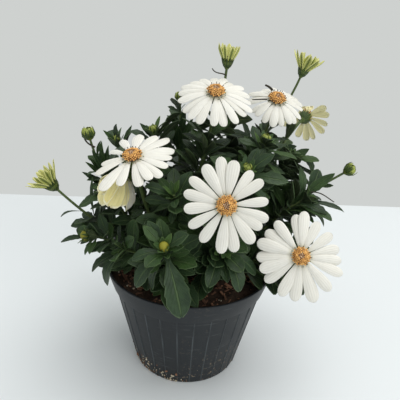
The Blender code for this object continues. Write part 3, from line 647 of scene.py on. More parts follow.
openingBuds = rowsOf("centre facing petals reach lean cup petalHalf", {
    "top_bud": ((20.3, 30.0, 236.5), (0.06, 0.05, 1.0), 9, 12.6, 21, 4.6, 2.0),
    "back_bud": ((81.5, 58.0, 229.0), (0.3, 0.0, 0.95), 10, 15.5, 35, 4.9, 2.2),
    "left_bud": ((-103.2, -5.6, 147.3), (-0.66, -0.12, 0.74), 13, 16.0, 37, 5.6, 2.0),
})
closedBuds = rowsOf("centre facing length radius slim", {
    "upper_left_bud": ((-77.2, 10.0, 177.6), (-0.2, -0.1, 0.97), 10.5, 4.7, 0.97),
    "right_bud": ((110.2, 5.0, 164.0), (0.74, -0.2, 0.64), 11.5, 5.1, 0.83),
})
# the shoots: base is the place on the crown, pull the reach of the curve's handles, leaves the
# stretch that bears them and their number, blade the length and width of the lowest and of the
# highest leaf, bud the radius of a bud at the tip; the first ones end at the head or bud that has
# their name
shoots = rowsOf("base pull radius leaves blade", {
    "front": ((-72, 44), (46, 34), 1.5, (0.16, 0.74, 8), (34, 14, 26, 11)),
    "low_right": ((-38, 24), (34, 30), 1.5, (0.22, 0.74, 8), (32, 12, 24, 10)),
    "top": ((-80, 84), (60, 48), 1.5, (0.2, 0.74, 8), (34, 12, 24, 10)),
    "top_right": ((24, 66), (62, 42), 1.5, (0.2, 0.76, 8), (34, 12, 24, 10)),
    "left": ((-142, 56), (46, 40), 1.5, (0.18, 0.78, 8), (33, 12, 25, 11)),
    "back_right": ((33, 40), (58, 36), 1.4, (0.22, 0.74, 8), (32, 12, 24, 10)),
    "nodding": ((-170, 52), (56, 26), 1.3, (0.2, 0.62, 7), (31, 11, 24, 10)),
    "top_bud": ((78, 74), (64, 44), 1.3, (0.24, 0.74, 8), (31, 11, 21, 8.5)),
    "back_bud": ((48, 56), (62, 46), 1.2, (0.24, 0.66, 7), (31, 12, 23, 10)),
    "left_bud": ((-176, 24), (40, 32), 1.3, (0.22, 0.62, 8), (31, 12, 20, 8.5)),
    "upper_left_bud": ((172, 40), (44, 34), 1.2, (0.24, 0.8, 8), (28, 10, 15, 6.5)),
    "right_bud": ((2, 36), (48, 38), 1.2, (0.24, 0.72, 8), (32, 13, 16, 6.5)),
}) | rowsOf("base tip aim pull radius leaves blade bud", {
    "rear_left": ((112, 62), (-14, 40, 204), (-0.1, 0.2, 1), (50, 40),
                  1.2, (0.24, 0.98, 9), (31, 11, 21, 8.5), 3.4),
    "low_left": ((-153, 19), (-70, -30, 119.6), (-0.93, -0.25, 0.2), (26, 24),
                 1.2, (0.3, 0.99, 8), (30, 11, 20, 10), 4.2),
    "front_rosette": ((-101, 20), (-15.3, -60.5, 130.0), (-0.1, -0.55, 0.83), (30, 24),
                      1.4, (0.34, 0.99, 8), (35, 14, 22, 11), 3.6),
    "mid_bud": ((-28, 62), (35.7, -22, 171), (0.1, -0.35, 0.93), (44, 30),
                1.2, (0.26, 0.98, 8), (32, 12, 20, 8.5), 3.4),
    "right_crest": ((2, 58), (49.5, 3, 184), (0.15, -0.2, 0.95), (50, 32),
                    1.2, (0.26, 0.98, 9), (32, 12, 21, 10), 3.8),
    "left_crest": ((150, 60), (-31, 15, 184), (-0.2, -0.05, 0.97), (44, 34),
                   1.2, (0.26, 0.98, 9), (31, 11, 21, 8.5), 3.2),
    "left_hanging": ((-131, 20), (-47, -36, 113), (-0.75, -0.6, 0.3), (26, 20),
                     1.2, (0.3, 0.98, 7), (33, 12, 25, 11)),
    "front_right": ((-62, 20), (24, -44, 122), (0.4, -0.75, 0.5), (26, 20),
                    1.3, (0.28, 0.98, 8), (35, 14, 26, 12)),
    "right_low": ((-14, 22), (84, -4, 146), (0.85, -0.1, 0.5), (38, 30),
                  1.3, (0.28, 0.98, 8), (34, 13, 28, 12)),
    "centre": ((-112, 50), (-12, -34, 156), (-0.15, -0.4, 0.9), (40, 28),
               1.3, (0.24, 0.98, 9), (34, 13, 23, 11)),
    "back_left": ((136, 34), (-64, 44, 166), (-0.3, 0.25, 0.92), (40, 30),
                  1.3, (0.26, 0.98, 8), (33, 13, 22, 10), 3.4),
    "back": ((96, 30), (-6, 80, 150), (0.0, 0.6, 0.8), (40, 30),
             1.3, (0.26, 0.98, 8), (33, 13, 22, 10), 3.8),
    "back_low_right": ((62, 28), (52, 70, 146), (0.45, 0.5, 0.74), (38, 30),
                       1.3, (0.26, 0.98, 8), (33, 13, 22, 10), 3.2),
    "rear_high": ((68, 52), (28, 52, 184), (0.1, 0.35, 0.93), (46, 34),
                  1.2, (0.24, 0.98, 8), (32, 12, 21, 10)),
    "right_high": ((17, 44), (74.5, 23.5, 168), (0.55, -0.05, 0.83), (46, 34),
                   1.2, (0.26, 0.98, 8), (31, 12, 22, 10)),
    "left_mid": ((-162, 36), (-64, -6, 146), (-0.6, -0.2, 0.77), (38, 28),
                 1.2, (0.26, 0.98, 8), (31, 12, 22, 10)),
})

# leaves with a place of their own: how far along the shoot, where the blade ends, arch, width
placedLeaves = [
    ("front_rosette", [(0.93, (-2.0, -76.0, 88.0), 9, 17.0), (0.9, (-33.5, -68.0, 105.0), 7, 12.5),
        (0.95, (-36.0, -64.0, 123.0), 5, 9.0), (0.86, (-24.5, -56.0, 95.5), 6, 12.0)]),
    ("front_right", [(0.9, (35.5, -59.0, 99.0), 8, 13.0), (0.8, (14.0, -63.0, 104.0), 8, 12.0),
        (0.95, (47.0, -46.0, 105.0), 7, 11.0)]),
    ("left_hanging", [(0.92, (-57.0, -46.0, 89.5), 8, 11.5),
        (0.86, (-69.0, -39.0, 96.0), 8, 9.0)]),
    ("right_low", [(0.93, (114.0, -2.0, 136.0), 6, 10.0), (0.9, (98.0, -12.0, 128.0), 6, 11.0)]),
    ("left_bud", [(0.74, (-97.0, -11.0, 124.0), 4, 6.0)]),
    ("low_left", [(0.97, (-93.0, -27.0, 112.0), 3, 6.5)]),
]
# and leaves that are too slight for the frame, in the same terms
slightLeaves = [
    ("upper_left_bud", [(0.66, (-81, 8, 161), 2, 3.8), (0.72, (-79, 12, 163), 1, 3.4),
        (0.78, (-76, 9, 170), 1, 3.8), (0.55, (-83, 5, 154), 2, 5.2),
        (0.66, (-69, 10, 177), 2, 5.4), (0.6, (-75, 7, 170), 2, 5.6),
        (0.56, (-64, 9, 174), 2, 6.4)]),
    ("left_bud", [(0.62, (-74, -2, 153), 2, 3.6)]),
    ("upper_left_bud", [(0.85, (-70, 12, 177), 1, 3.0)]),
    ("back_left", [(0.95, (-74, 40, 177), 2, 4.0), (1.0, (-64, 42, 182), 2, 5.8),
        (0.85, (-51, 36, 183), 2, 5.8)]),
    ("left_crest", [(0.9, (-41, 14, 191), 3, 4.8)]),
    ("rear_left", [(0.66, (-19, 33, 192), 2, 6.4), (0.68, (-9, 33, 197), 2, 6.6),
        (0.62, (-3, 31, 193), 2, 6.2), (0.6, (-23, 31, 189), 2, 6.0),
        (0.56, (-14, 30, 186), 2, 6.4), (0.52, (-6, 28, 182), 2, 6.4),
        (0.8, (-23, 34, 193), 2, 5.0), (0.82, (-18, 33, 193), 1, 4.4),
        (0.92, (-23, 38, 199), 1, 3.8), (0.88, (-6, 36, 199), 2, 5.4)]),
    ("right_low", [(0.86, (102, 0, 165), 4, 8.0)]),
    ("right_high", [(0.9, (87, 25, 175), 3, 7.5), (1.0, (91, 20, 157), 8, 6.5)]),
    ("right_low", [(0.95, (78, 5, 167), 3, 7.0), (0.8, (76, -8, 127), 3, 5.4),
        (0.62, (68, -10, 127), 3, 5.4)]),
    ("right_bud", [(0.82, (105, 7, 153), 1, 3.4), (0.8, (105, 9, 161), 2, 4.4)]),
    ("right_low", [(0.55, (53, -12, 116), 4, 8.0)]),
    ("top_bud", [(0.62, (43, 24, 181), 4, 7.2)]),
    ("top", [(0.6, (-2, 0, 183), 4, 5.6)]),
    ("right_high", [(0.62, (87, 16, 148), 5, 8.0), (0.5, (80, 12, 144), 4, 8.5)]),
    ("right_low", [(0.4, (52, -10, 127), 5, 8.0)]),
    ("right_high", [(0.75, (61, 16, 169), 3, 7.5)]),
    ("back_right", [(0.62, (79, 34, 174), 4, 7.0)]),
    ("right_low", [(0.7, (92, -4, 146), 3, 8.5)]),
]

# how the leaves grow and keep clear of each other
growth = {
    "turn": math.radians(137.5),  # each leaf is turned this far round the stem from the one below
    "crowding": 0.8,
    "riseLow": 60.0, "riseHigh": 38.0,
    "towardsLight": Vector((0.1, -0.95, 0.3)),
    "shrinks": (1.0, 0.85, 0.7),  # what is tried, in turn, until a leaf finds room
    "leans": (0, -14, 14, -26),
    "swings": (0, 14, -14, 28, -28, 44, -44),
    "placedLifts": (0, 2, -2, 4),
    "slightLifts": (0, 2, -2, 4, 7), "slightSlides": (0, -0.06, -0.12), "slightTurn": 1.7,
    "leafAir": 0.45 * mm, "fillerAir": 0.12 * mm, "closeAir": 0.1 * mm,
    "faceClear": 12.0,
    "openSpots": [((17.0, -40.0, 82.6), (44.0, -16.0, 92.0)),
                  ((-44.0, -60.0, 86.0), (-37.0, -36.0, 112.0)),
                  ((-66.0, -58.0, 138.0), (-40.0, -20.0, 166.0))],  # air that no leaf may take
    "clearOfFillers": [((-93, -50.0, 82), (-68, 10.0, 111)), ((0, -72, 83), (44, -24, 100))],
    "fillersPerShoot": 30,
    # these get twice as many fillers
    "fullShoots": ("right_high", "right_low", "right_crest", "back_right", "back_bud", "rear_high",
                   "back_low_right", "low_right", "top_right", "mid_bud"),
    "fillerTries": 6, "fillerLength": (15.0, 31.0), "fillerRise": (30, 78),
    "fillerWidth": (0.34, 0.48), "fillerShake": 0.25,
    "litFrom": 15 * mm,  # fillers nearer to the viewer than this face the light
    "bushCentre": Vector((8.0, 5.0, 90.0)), "bushRadii": (103.0, 80.0, 112.0), "bushEdge": 1.05,
    "boxEdge": 2 * mm,
    "underHead": 9.2, "underBud": 6.0,  # how far below a head's or bud's centre its stem ends
}
bladeStations = ((0.0, 0.16), (0.44, 0.62), (0.76, 1.0))  # how far along, and how wide there
bladeThick, bladeFold = 0.45 * mm, 0.2


def corners(verts):
    return (tuple(min(v[i] for v in verts) for i in range(3)),
            tuple(max(v[i] for v in verts) for i in range(3)))


def treeOf(verts, faces):  # for finding what touches it
    return BVHTree.FromPolygons([tuple(v) for v in verts], faces)


class Room:  # remembers what stands where, so that a new leaf can be tried against it
    def __init__(self):
        self.taken = []

    def add(self, verts, faces, owner):
        self.taken.append((treeOf(verts, faces), corners(verts), owner))

    def isFree(self, verts, faces, skip=None):
        low, high = corners(verts)
        tree = None
        for other, (otherLow, otherHigh), owner in self.taken:
            if owner == skip:
                continue
            if any(high[i] < otherLow[i] or low[i] > otherHigh[i] for i in range(3)):
                continue
            if tree is None:
                tree = treeOf(verts, faces)
            if tree.overlap(other):
                return False
        return True


# plain stand-ins for a leaf, a flower's face, a stem and open air, as points and faces

def bladeShape(foot, middle, tip, upper, width, swell=0.0, fromStation=0):
    verts, faces = [], []
    stations = bladeStations[fromStation:]
    for share, wide in stations:
        point = foot * (1 - share) ** 2 + middle * (2 * share * (1 - share)) + tip * share ** 2
        along = ((middle - foot) * (1 - share) + (tip - middle) * share).normalized()
        across = along.cross(upper).normalized()
        normal = across.cross(along).normalized()
        half = width * wide / 2
        lift = normal * (half * bladeFold)
        deep = normal * (bladeThick + swell)
        verts += [point - across * (half + swell) + lift, point - deep,
                  point + across * (half + swell) + lift, point + deep]
    verts.append(tip + (tip - middle).normalized() * swell)
    rings = len(stations)
    for i in range(rings - 1):
        for k in range(4):
            beside = (k + 1) % 4
            faces.append((4 * i + k, 4 * i + beside, 4 * i + 4 + beside, 4 * i + 4 + k))
    for k in range(4):
        faces.append((4 * rings - 4 + k, 4 * rings - 4 + (k + 1) % 4, 4 * rings))
    faces.append((3, 2, 1, 0))
    return verts, faces


def drumShape(centre, facing, radius, low, high, sides=12):
    axes = axesOf(facing)
    ring = [outAt(axes, math.tau * k / sides) for k in range(sides)]
    verts = [centre + facing * z + way * radius for z in (low, high) for way in ring]
    faces = [(k, (k + 1) % sides, sides + (k + 1) % sides, sides + k) for k in range(sides)]
    return verts, faces + [tuple(range(sides)), tuple(range(sides, 2 * sides))]


def stemShape(points, radius, sides=5):
    verts, faces = [], []
    last = len(points) - 1
    side = (points[1] - points[0]).normalized().orthogonal().normalized()
    for i, point in enumerate(points):
        direction = (points[min(i + 1, last)] - points[max(i - 1, 0)]).normalized()
        side = (side - direction * side.dot(direction)).normalized()
        other = direction.cross(side)
        reach = radius * (1 - 0.25 * i / last)
        for k in range(sides):
            angle = math.tau * k / sides
            verts.append(point + side * (reach * math.cos(angle))
                         + other * (reach * math.sin(angle)))
    for i in range(last):
        for k in range(sides):
            near, far, beside = i * sides, (i + 1) * sides, (k + 1) % sides
            faces.append((near + k, near + beside, far + beside, far + k))
    return verts, faces


def boxShape(low, high):
    verts = [Vector((x, y, z)) * mm for z in (low[2], high[2]) for y in (low[1], high[1])
             for x in (low[0], high[0])]
    return verts, [(0, 2, 3, 1), (4, 5, 7, 6), (0, 1, 5, 4), (2, 6, 7, 3), (0, 4, 6, 2),
                   (1, 3, 7, 5)]


def standOf(row):  # where a head or bud sits, and which way it faces
    return Vector(row["centre"]) * mm, Vector(row["facing"]).normalized()


def headEnd(name):
    for table, back in ((heads, growth["underHead"]), (openingBuds, growth["underBud"]),
                        (closedBuds, 0.0)):
        if name in table:
            centre, facing = standOf(table[name])
            return centre - facing * (back * mm + airGap), facing


def shootHandles():
    handles = {}
    for name, shoot in shoots.items():
        if "tip" in shoot:
            end, aim = Vector(shoot["tip"]) * mm, Vector(shoot["aim"]).normalized()
        else:
            end, aim = headEnd(name)
        azimuth, elevation = (math.radians(angle) for angle in shoot["base"])
        leaving = Vector((math.cos(azimuth) * math.cos(elevation),
                          math.sin(azimuth) * math.cos(elevation), math.sin(elevation)))
        start = crownPlace["centre"] * mm + leaving * (crownPlace["radius"] * mm + airGap)
        first, second = (pull * mm for pull in shoot["pull"])
        handles[name] = (start, start + leaving * first, end - aim * second, end)
    return handles


# a leaf as its foot, the handle of its curve, its tip and its upper side

def alongPath(points, share):
    place = share * (len(points) - 1)
    low = min(int(place), len(points) - 2)
    return (points[low].lerp(points[low + 1], place - low),
            (points[low + 1] - points[low]).normalized())


def grownLeaf(path, share, azimuth, rise, length):
    foot, along = alongPath(path, share)
    outward = outAt(axesOf(along), azimuth).normalized()
    start = (along * math.cos(rise) + outward * math.sin(rise)).normalized()
    middle = foot + start * (length * 0.5)
    bent = (start * 0.8 + outward * 0.35 - up * 0.22).normalized()
    tip = middle + bent * (length * 0.5)
    upper = along * 0.7 + up * 0.4 + growth["towardsLight"] * 0.45
    return foot, middle, tip, upper.normalized()


def placedLeaf(path, share, tip, arch):
    foot, along = alongPath(path, share)
    end = Vector(tip) * mm
    straight = end - foot
    way = straight.normalized()
    lift = up - way * up.dot(way)
    if lift.length < 0.25:  # the leaf stands nearly upright, so the stem says which side is up
        lift = along - way * along.dot(way)
    outward = Vector((foot.x, foot.y, 0)).normalized()
    middle = foot + straight * 0.45 + (lift.normalized() + outward * 0.6) * (arch * mm)
    return foot, middle, end, (lift.normalized() + along * 0.4 + outward * 0.5).normalized()


def fits(room, leaf, width, owner, air, isSlight=False):
    # the whole leaf clears the other shoots, and its outer part clears its own shoot too
    if not room.isFree(*bladeShape(*leaf, width, air), owner):
        return False
    return isSlight or room.isFree(*bladeShape(*leaf, width, growth["closeAir"], 1))


# the places that are tried in turn for one leaf, and its width

def grownTries(path, name, i, count):
    first, last, _ = shoots[name]["leaves"]
    longLow, wideLow, longHigh, wideHigh = shoots[name]["blade"]
    share = i / (count - 1)
    place = first + (last - first) * share ** growth["crowding"]
    length = longLow + (longHigh - longLow) * share
    width = wideLow + (wideHigh - wideLow) * share
    rise = growth["riseLow"] + (growth["riseHigh"] - growth["riseLow"]) * share
    azimuth = growth["turn"] * i + list(shoots).index(name)
    for shrink in growth["shrinks"]:
        for lean in growth["leans"]:
            for swing in growth["swings"]:
                leaf = grownLeaf(path, place, azimuth + math.radians(swing),
                                 math.radians(rise + lean), length * shrink * mm)
                yield leaf, width * shrink ** 0.5 * mm


def fillerTries(path, name):
    first, last, _ = shoots[name]["leaves"]
    for attempt in range(growth["fillerTries"]):
        share = dice.uniform(first * 0.7, last)
        length = dice.uniform(*growth["fillerLength"]) * (1 - 0.04 * attempt)
        foot, middle, tip, upper = grownLeaf(
            path, share, dice.uniform(0, math.tau),
            math.radians(dice.uniform(*growth["fillerRise"])), length * mm)
        outward = Vector((foot.x, foot.y, 0)).normalized()
        shake = growth["fillerShake"]
        shaken = Vector(dice.uniform(-shake, shake) for axis in range(3))
        isLit = foot.y < growth["litFrom"]
        lit = growth["towardsLight"] * 0.45 if isLit else outward * 0.5
        upper = up * 0.55 + outward * 0.45 + lit + shaken
        yield ((foot, middle, tip, upper.normalized()),
               length * dice.uniform(*growth["fillerWidth"]) * mm)


def insideBush(tip):  # under the plant's rounded outline and inside the frame's box
    low, high = cadBox
    away = [(tip[i] / mm - growth["bushCentre"][i]) / growth["bushRadii"][i] for i in range(3)]
    edge = growth["boxEdge"]
    inBox = all(low[i] + edge < tip[i] < high[i] - edge for i in range(3))
    return inBox and sum(share ** 2 for share in away) < growth["bushEdge"]


def planLeaves(paths, room):
    plan = {name: [] for name in shoots}

    def countAll():
        return sum(len(leaves) for leaves in plan.values())

    def keepFirst(name, tries, kind, air):
        for leaf, width in tries:
            if kind == "filler" and not insideBush(leaf[2]):
                continue
            if kind == "slight":  # turned so that its face shows
                light = growth["towardsLight"] * growth["slightTurn"]
                leaf = (*leaf[:3], (leaf[3] + light).normalized())
            if fits(room, leaf, width, name + "_shoot", air, kind == "slight"):
                plan[name].append((*leaf, width, kind))
                room.add(*bladeShape(*leaf, width), name + "_shoot")
                return

    def keepPlaced(rows, kind, lifts, slides, air):
        for name, leaves in rows:
            for share, tip, arch, width in leaves:
                keepFirst(name, [(placedLeaf(paths[name], share + slide, tip, arch + lift),
                                  width * mm) for slide in slides for lift in lifts], kind, air)

    keepPlaced(placedLeaves, "placed", growth["placedLifts"], (0,), growth["leafAir"])
    for name, shoot in shoots.items():
        count = shoot["leaves"][2]
        for i in range(count):
            keepFirst(name, grownTries(paths[name], name, i, count), "grown", growth["leafAir"])
    frameLeaves = countAll()
    keepPlaced(slightLeaves, "slight", growth["slightLifts"], growth["slightSlides"],
               growth["fillerAir"])
    for low, high in growth["clearOfFillers"]:
        room.add(*boxShape(low, high), "open_spot")
    for turn in range(growth["fillersPerShoot"] * 2):
        for name in shoots if turn < growth["fillersPerShoot"] else growth["fullShoots"]:
            keepFirst(name, fillerTries(paths[name], name), "filler", growth["fillerAir"])
    print("leaves:", frameLeaves, "from the frame,", countAll() - frameLeaves, "more in the gaps")
    return plan


def fillRoom():
    room = Room()
    for name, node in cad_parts.items():
        if not name.endswith("_shoot"):
            room.add([v.co for v in node.data.vertices],
                     [tuple(p.vertices) for p in node.data.polygons], name)
    for low, high in growth["openSpots"]:
        room.add(*boxShape(low, high), "open_spot")
    for head in heads.values():
        room.add(*drumShape(*standOf(head), head["reach"] * 0.85 * mm, 1.0 * mm,
                            growth["faceClear"] * mm), "face_space")
    for name, path in paths.items():
        room.add(*stemShape(path, shoots[name]["radius"] * mm), name + "_shoot")
    return room


handles = shootHandles()
paths = {name: interpolate_bezier(*points, 8) for name, points in handles.items()}
plan = planLeaves(paths, fillRoom())


# the pot

potSizes = {
    "rim": 65.0, "height": 88.0, "bandRadius": 60.4, "bandFoot": 71.8, "bodyTop": 58.4,
    "base": 42.6, "wall": 1.3, "floor": 1.7,
    "columns": 450, "ribs": 30, "ribHeight": 0.55, "ribHalf": 0.002,  # the last as an angle
    "drainHoles": 6, "drainRadius": 4.5, "drainCircle": 29.0, "drainStart": 20.0,
}
potFinish = {
    "roughness": (0.38, 0.62), "specular": 0.38, "bump": 0.35, "bumpDepth": 0.0004,
    # the next colour paints pale streaks, stretched up and down the pot
    "dark": (6, 10, 14), "light": (26, 32, 37), "scuff": (104, 108, 108), "paleStreakShare": 0.30,
    # the last colour on the next line is a painted highlight on the rib crests
    "paleStreakStretch": (60.0, 60.0, 700.0), "crest": (82, 90, 94),
    "dirt": (150, 134, 114), "dirtTop": 0.045,
}


def potLook():
    f = potFinish
    tree = startLook("anthracitePlastic", 0.5, Specular_IOR_Level=f["specular"])
    place = placeIn(tree)
    cloud = noiseOf(tree, place, 22.0, 5.0)
    fine = noiseOf(tree, place, 700.0, 2.0)
    # pale streaks, stretched up and down the pot
    stretch = addNode(tree, "ShaderNodeMapping", {"Vector": place, "Scale": f["paleStreakStretch"]})
    scuff = stepUp(tree, noiseOf(tree, stretch.outputs["Vector"], 1.0, 3.0), 0.60, 0.72)
    base = blendOf(tree, cloud, f["dark"], f["light"])
    paleStreaked = blendOf(tree, times(tree, scuff, f["paleStreakShare"]), base, f["scuff"])
    # painted highlight: here and there the rib crests are lighter, as where they catch the light
    patchy = stepUp(tree, noiseOf(tree, place, 34.0, 3.0), 0.36, 0.62, 0.15, 0.75)
    crest = times(tree, attributeOf(tree, "ribCrest"), patchy)
    ribHighlighted = blendOf(tree, crest, paleStreaked, f["crest"])
    height = addNode(tree, "ShaderNodeSeparateXYZ", {"Vector": place}).outputs["Z"]
    low = stepUp(tree, height, 0.0, f["dirtTop"], 1.0, 0.10)
    specks = stepUp(tree, noiseOf(tree, place, 420.0, 3.0), 0.60, 0.66)
    patches = stepUp(tree, noiseOf(tree, place, 18.0, 2.0), 0.45, 0.60)
    dirt = times(tree, times(tree, specks, patches), low)
    smoothest, roughest = f["roughness"]
    rough = addNode(tree, "ShaderNodeMapRange",
                    {"Value": cloud, "To Min": smoothest, "To Max": roughest})
    joinSocket(tree, mixIn(tree, dirt, 0.3, rough.outputs["Result"]), "Roughness")
    relief = sums(tree, "ADD", times(tree, fine, 0.3), dirt)
    coat(tree, blendOf(tree, dirt, ribHighlighted, f["dirt"]), relief, f["bump"], f["bumpDepth"])


def onRib(point):
    s = potSizes
    radius, height = point.xy.length / mm, point.z / mm
    body = s["base"] + (s["bodyTop"] - s["base"]) * (height - 1.2) / (s["bandFoot"] - 1.9)
    fromRib = math.remainder(math.atan2(point.y, point.x), math.tau / s["ribs"])
    isBody = 1.0 < height < s["bandFoot"] - 0.5 and radius > body - 0.4
    return isBody and abs(fromRib) < s["ribHalf"]


def makePot():
    s = potSizes
    # up the outside from the foot, over the rim, and down the inside to the floor
    profile = [(s["base"] - 1.2, 0.0), (s["base"] - 0.35, 0.35), (s["base"], 1.2),
               (s["bodyTop"], s["bandFoot"] - 0.7), (s["bodyTop"] + 0.9, s["bandFoot"] - 0.4),
               (s["bandRadius"] - 0.2, s["bandFoot"] - 0.15),
               (s["bandRadius"], s["bandFoot"] + 0.3), (s["rim"] - 0.05, s["height"] - 1.0),
               (s["rim"], s["height"] - 0.6), (s["rim"] - 0.15, s["height"] - 0.15),
               (s["rim"] - 0.45, s["height"]), (s["rim"] - s["wall"], s["height"]),
               (s["rim"] - s["wall"] - 0.3, s["height"] - 0.2),
               (s["bandRadius"] - s["wall"], s["bandFoot"] + 1.4),
               (s["bodyTop"] - s["wall"], s["bandFoot"] + 0.4),
               (s["base"] - s["wall"], s["floor"])]
    pot = turnedBody(profile, s["columns"])
    pot.data.transform(Matrix.Rotation(math.radians(90), 4, "Z"))  # a column on every rib
    for vertex in pot.data.vertices:
        if onRib(vertex.co):
            vertex.co.xy *= 1 + s["ribHeight"] * mm / vertex.co.xy.length
    cutters = []
    for i in range(s["drainHoles"]):
        angle = math.radians(s["drainStart"]) + math.tau * i / s["drainHoles"]
        circle = s["drainCircle"] * mm
        pickNothing()
        bpy.ops.mesh.primitive_cylinder_add(
            vertices=24, radius=s["drainRadius"] * mm, depth=8 * mm,
            location=(circle * math.cos(angle), circle * math.sin(angle), 0))
        cutters.append(bpy.context.object)
    cutter = joinUp(cutters, "drainCutter")
    applyModifier(pot, "BOOLEAN", operation="DIFFERENCE", object=cutter, solver="EXACT")
    bpy.data.objects.remove(cutter)
    # marks the rib crests, where the painted highlight goes
    crest = pot.data.attributes.new("ribCrest", "FLOAT", "POINT")
    crest.data.foreach_set("value", [float(onRib(vertex.co)) for vertex in pot.data.vertices])
    potLook()
    wear(pot, "anthracitePlastic")
    smooth(pot, 24)
    settle([pot], "potShell", "pot_plastic", "pot")


# the soil with bark chips, and the crown

soilSizes = {
    "top": 81.5, "rings": 34, "columns": 150, "edgeGap": 0.75, "footGap": 0.35,
    "mounds": 0.9, "roughness": 1.7, "lumps": 0.30, "smoothWithin": 17, "fadeOver": 6,
    "chips": 330, "chipSize": (8.5, 2.6, 1.3), "chipScale": (0.35, 1.1),
    "crumbs": 420, "crumbSize": (5.5, 4.6, 4.0), "crumbScale": (0.12, 0.34), "gritShare": 0.07,
    "bare": 19, "spread": 58.5, "chipReach": 4.6, "inside": 59.5,  # where the chips may lie
    "chipTilt": 0.45,
}


def fromCrown(x, y):
    return math.hypot(x - crownPlace["centre"].x, y - crownPlace["centre"].y)


def soilHeight(x, y):
    away = min(1.0, max(0.0, fromCrown(x, y) / 26 - 0.75))
    waves = (math.sin(0.16 * x + 0.9) * math.cos(0.19 * y - 0.4)
             + 0.5 * math.sin(0.31 * x - 0.27 * y))
    return soilSizes["top"] + away * soilSizes["mounds"] * waves


def makeSoil():
    wall = potSizes["wall"] + soilSizes["edgeGap"]
    edge = potSizes["bandRadius"] - wall + (potSizes["rim"] - potSizes["bandRadius"]) * 0.52
    profile = [(potSizes["base"] - wall, potSizes["floor"] + soilSizes["footGap"]),
               (potSizes["bodyTop"] - wall, potSizes["bandFoot"])]
    profile += [(edge * (1 - i / soilSizes["rings"]) + 0.4,
                 soilSizes["top"] - (0.8 if i == 0 else 0)) for i in range(soilSizes["rings"])]
    soil = turnedBody(profile, soilSizes["columns"])
    for vertex in soil.data.vertices:
        if vertex.co.z > (soilSizes["top"] - 0.5) * mm:
            x, y = vertex.co.x / mm, vertex.co.y / mm
            past = (fromCrown(x, y) - soilSizes["smoothWithin"]) / soilSizes["fadeOver"]
            away = min(1.0, max(0.0, past))
            lumps = noise.fractal(Vector((x, y, 3.0)) * soilSizes["lumps"], 0.8, 2.0, 5)
            vertex.co.z = (soilHeight(x, y) + away * soilSizes["roughness"] * lumps) * mm
    wear(soil, "darkPeat")
    smooth(soil)
    settle([soil], "pottingSoil", "peat", "soil")


def crumbPattern(finish):
    pickNothing()
    bpy.ops.mesh.primitive_cube_add(size=1)
    crumb = bpy.context.object
    bpy.ops.object.mode_set(mode="EDIT")
    bpy.ops.mesh.select_all(action="SELECT")
    bpy.ops.mesh.subdivide(number_cuts=1)
    bpy.ops.object.mode_set(mode="OBJECT")
    for vertex in crumb.data.vertices:
        vertex.co *= 0.78 + 0.34 * noise.noise(vertex.co * 2.3 + Vector((4, 1, 7)))
    wear(crumb, finish)
    crumb.data.attributes.new("tone", "FLOAT", "POINT")
    smooth(crumb, 40)
    return crumb


def tumble(steep):
    turn = Matrix.Rotation(dice.uniform(0, math.tau), 4, "Z")
    for axis in "XY":
        turn = turn @ Matrix.Rotation(dice.uniform(-steep, steep), 4, axis)
    return turn


def makeChips(bark, grit):
    s = soilSizes
    copies = []
    for i in range(s["chips"] + s["crumbs"]):
        isChip = i < s["chips"]
        radius, angle = s["spread"] * math.sqrt(dice.random()), dice.uniform(0, math.tau)
        x, y = radius * math.cos(angle), radius * math.sin(angle)
        size = dice.uniform(*s["chipScale" if isChip else "crumbScale"])
        if fromCrown(x, y) < s["bare"] or radius + s["chipReach"] * size > s["inside"]:
            continue
        wide = Vector(s["chipSize" if isChip else "crumbSize"]) * size * mm
        place = Vector((x, y, soilHeight(x, y) + 0.4 + 0.5 * size * isChip)) * mm
        pattern = bark if isChip or dice.random() > s["gritShare"] else grit
        turn = tumble(s["chipTilt"])
        matrix = Matrix.Translation(place) @ turn @ Matrix.Diagonal((*wide, 1))
        copies.append(placeCopy(pattern, matrix, dice.random()))
    settle(copies, "barkChips", "peat", "soil")


potCrumbs = {  # stuck to the outside of the pot, low at its left
    "count": 130, "gritShare": 0.45,
    "from": -172, "span": 80, "stray": 6,  # degrees round the pot
    "top": 25, "topFalls": 18, "nearFoot": 1.6,
    "sizes": (0.5, 1.15), "largeSizes": (1.4, 2.2), "largeEvery": 9, "tilt": 1.5,
}


def makePotCrumbs(bark, grit):
    s, c = potSizes, potCrumbs
    copies = []
    for i in range(c["count"]):
        share = dice.random()
        angle = math.radians(c["from"] + c["span"] * share + dice.uniform(-c["stray"], c["stray"]))
        height = dice.uniform(0, 1) ** c["nearFoot"] * (c["top"] - c["topFalls"] * share)
        size = dice.uniform(*c["sizes" if i % c["largeEvery"] else "largeSizes"])
        radius = s["base"] + (s["bodyTop"] - s["base"]) * height / s["bandFoot"]
        place = Vector((radius * math.cos(angle), radius * math.sin(angle), height + size * 0.9))
        pattern = grit if dice.random() < c["gritShare"] else bark
        matrix = Matrix.Translation(place * mm) @ tumble(c["tilt"]) @ Matrix.Scale(size * mm, 4)
        copies.append(placeCopy(pattern, matrix, dice.random()))
    settle(copies, "potCrumbs", "peat")


crownShape = {"columns": 40, "knots": 3.1, "knotHeight": 0.9}


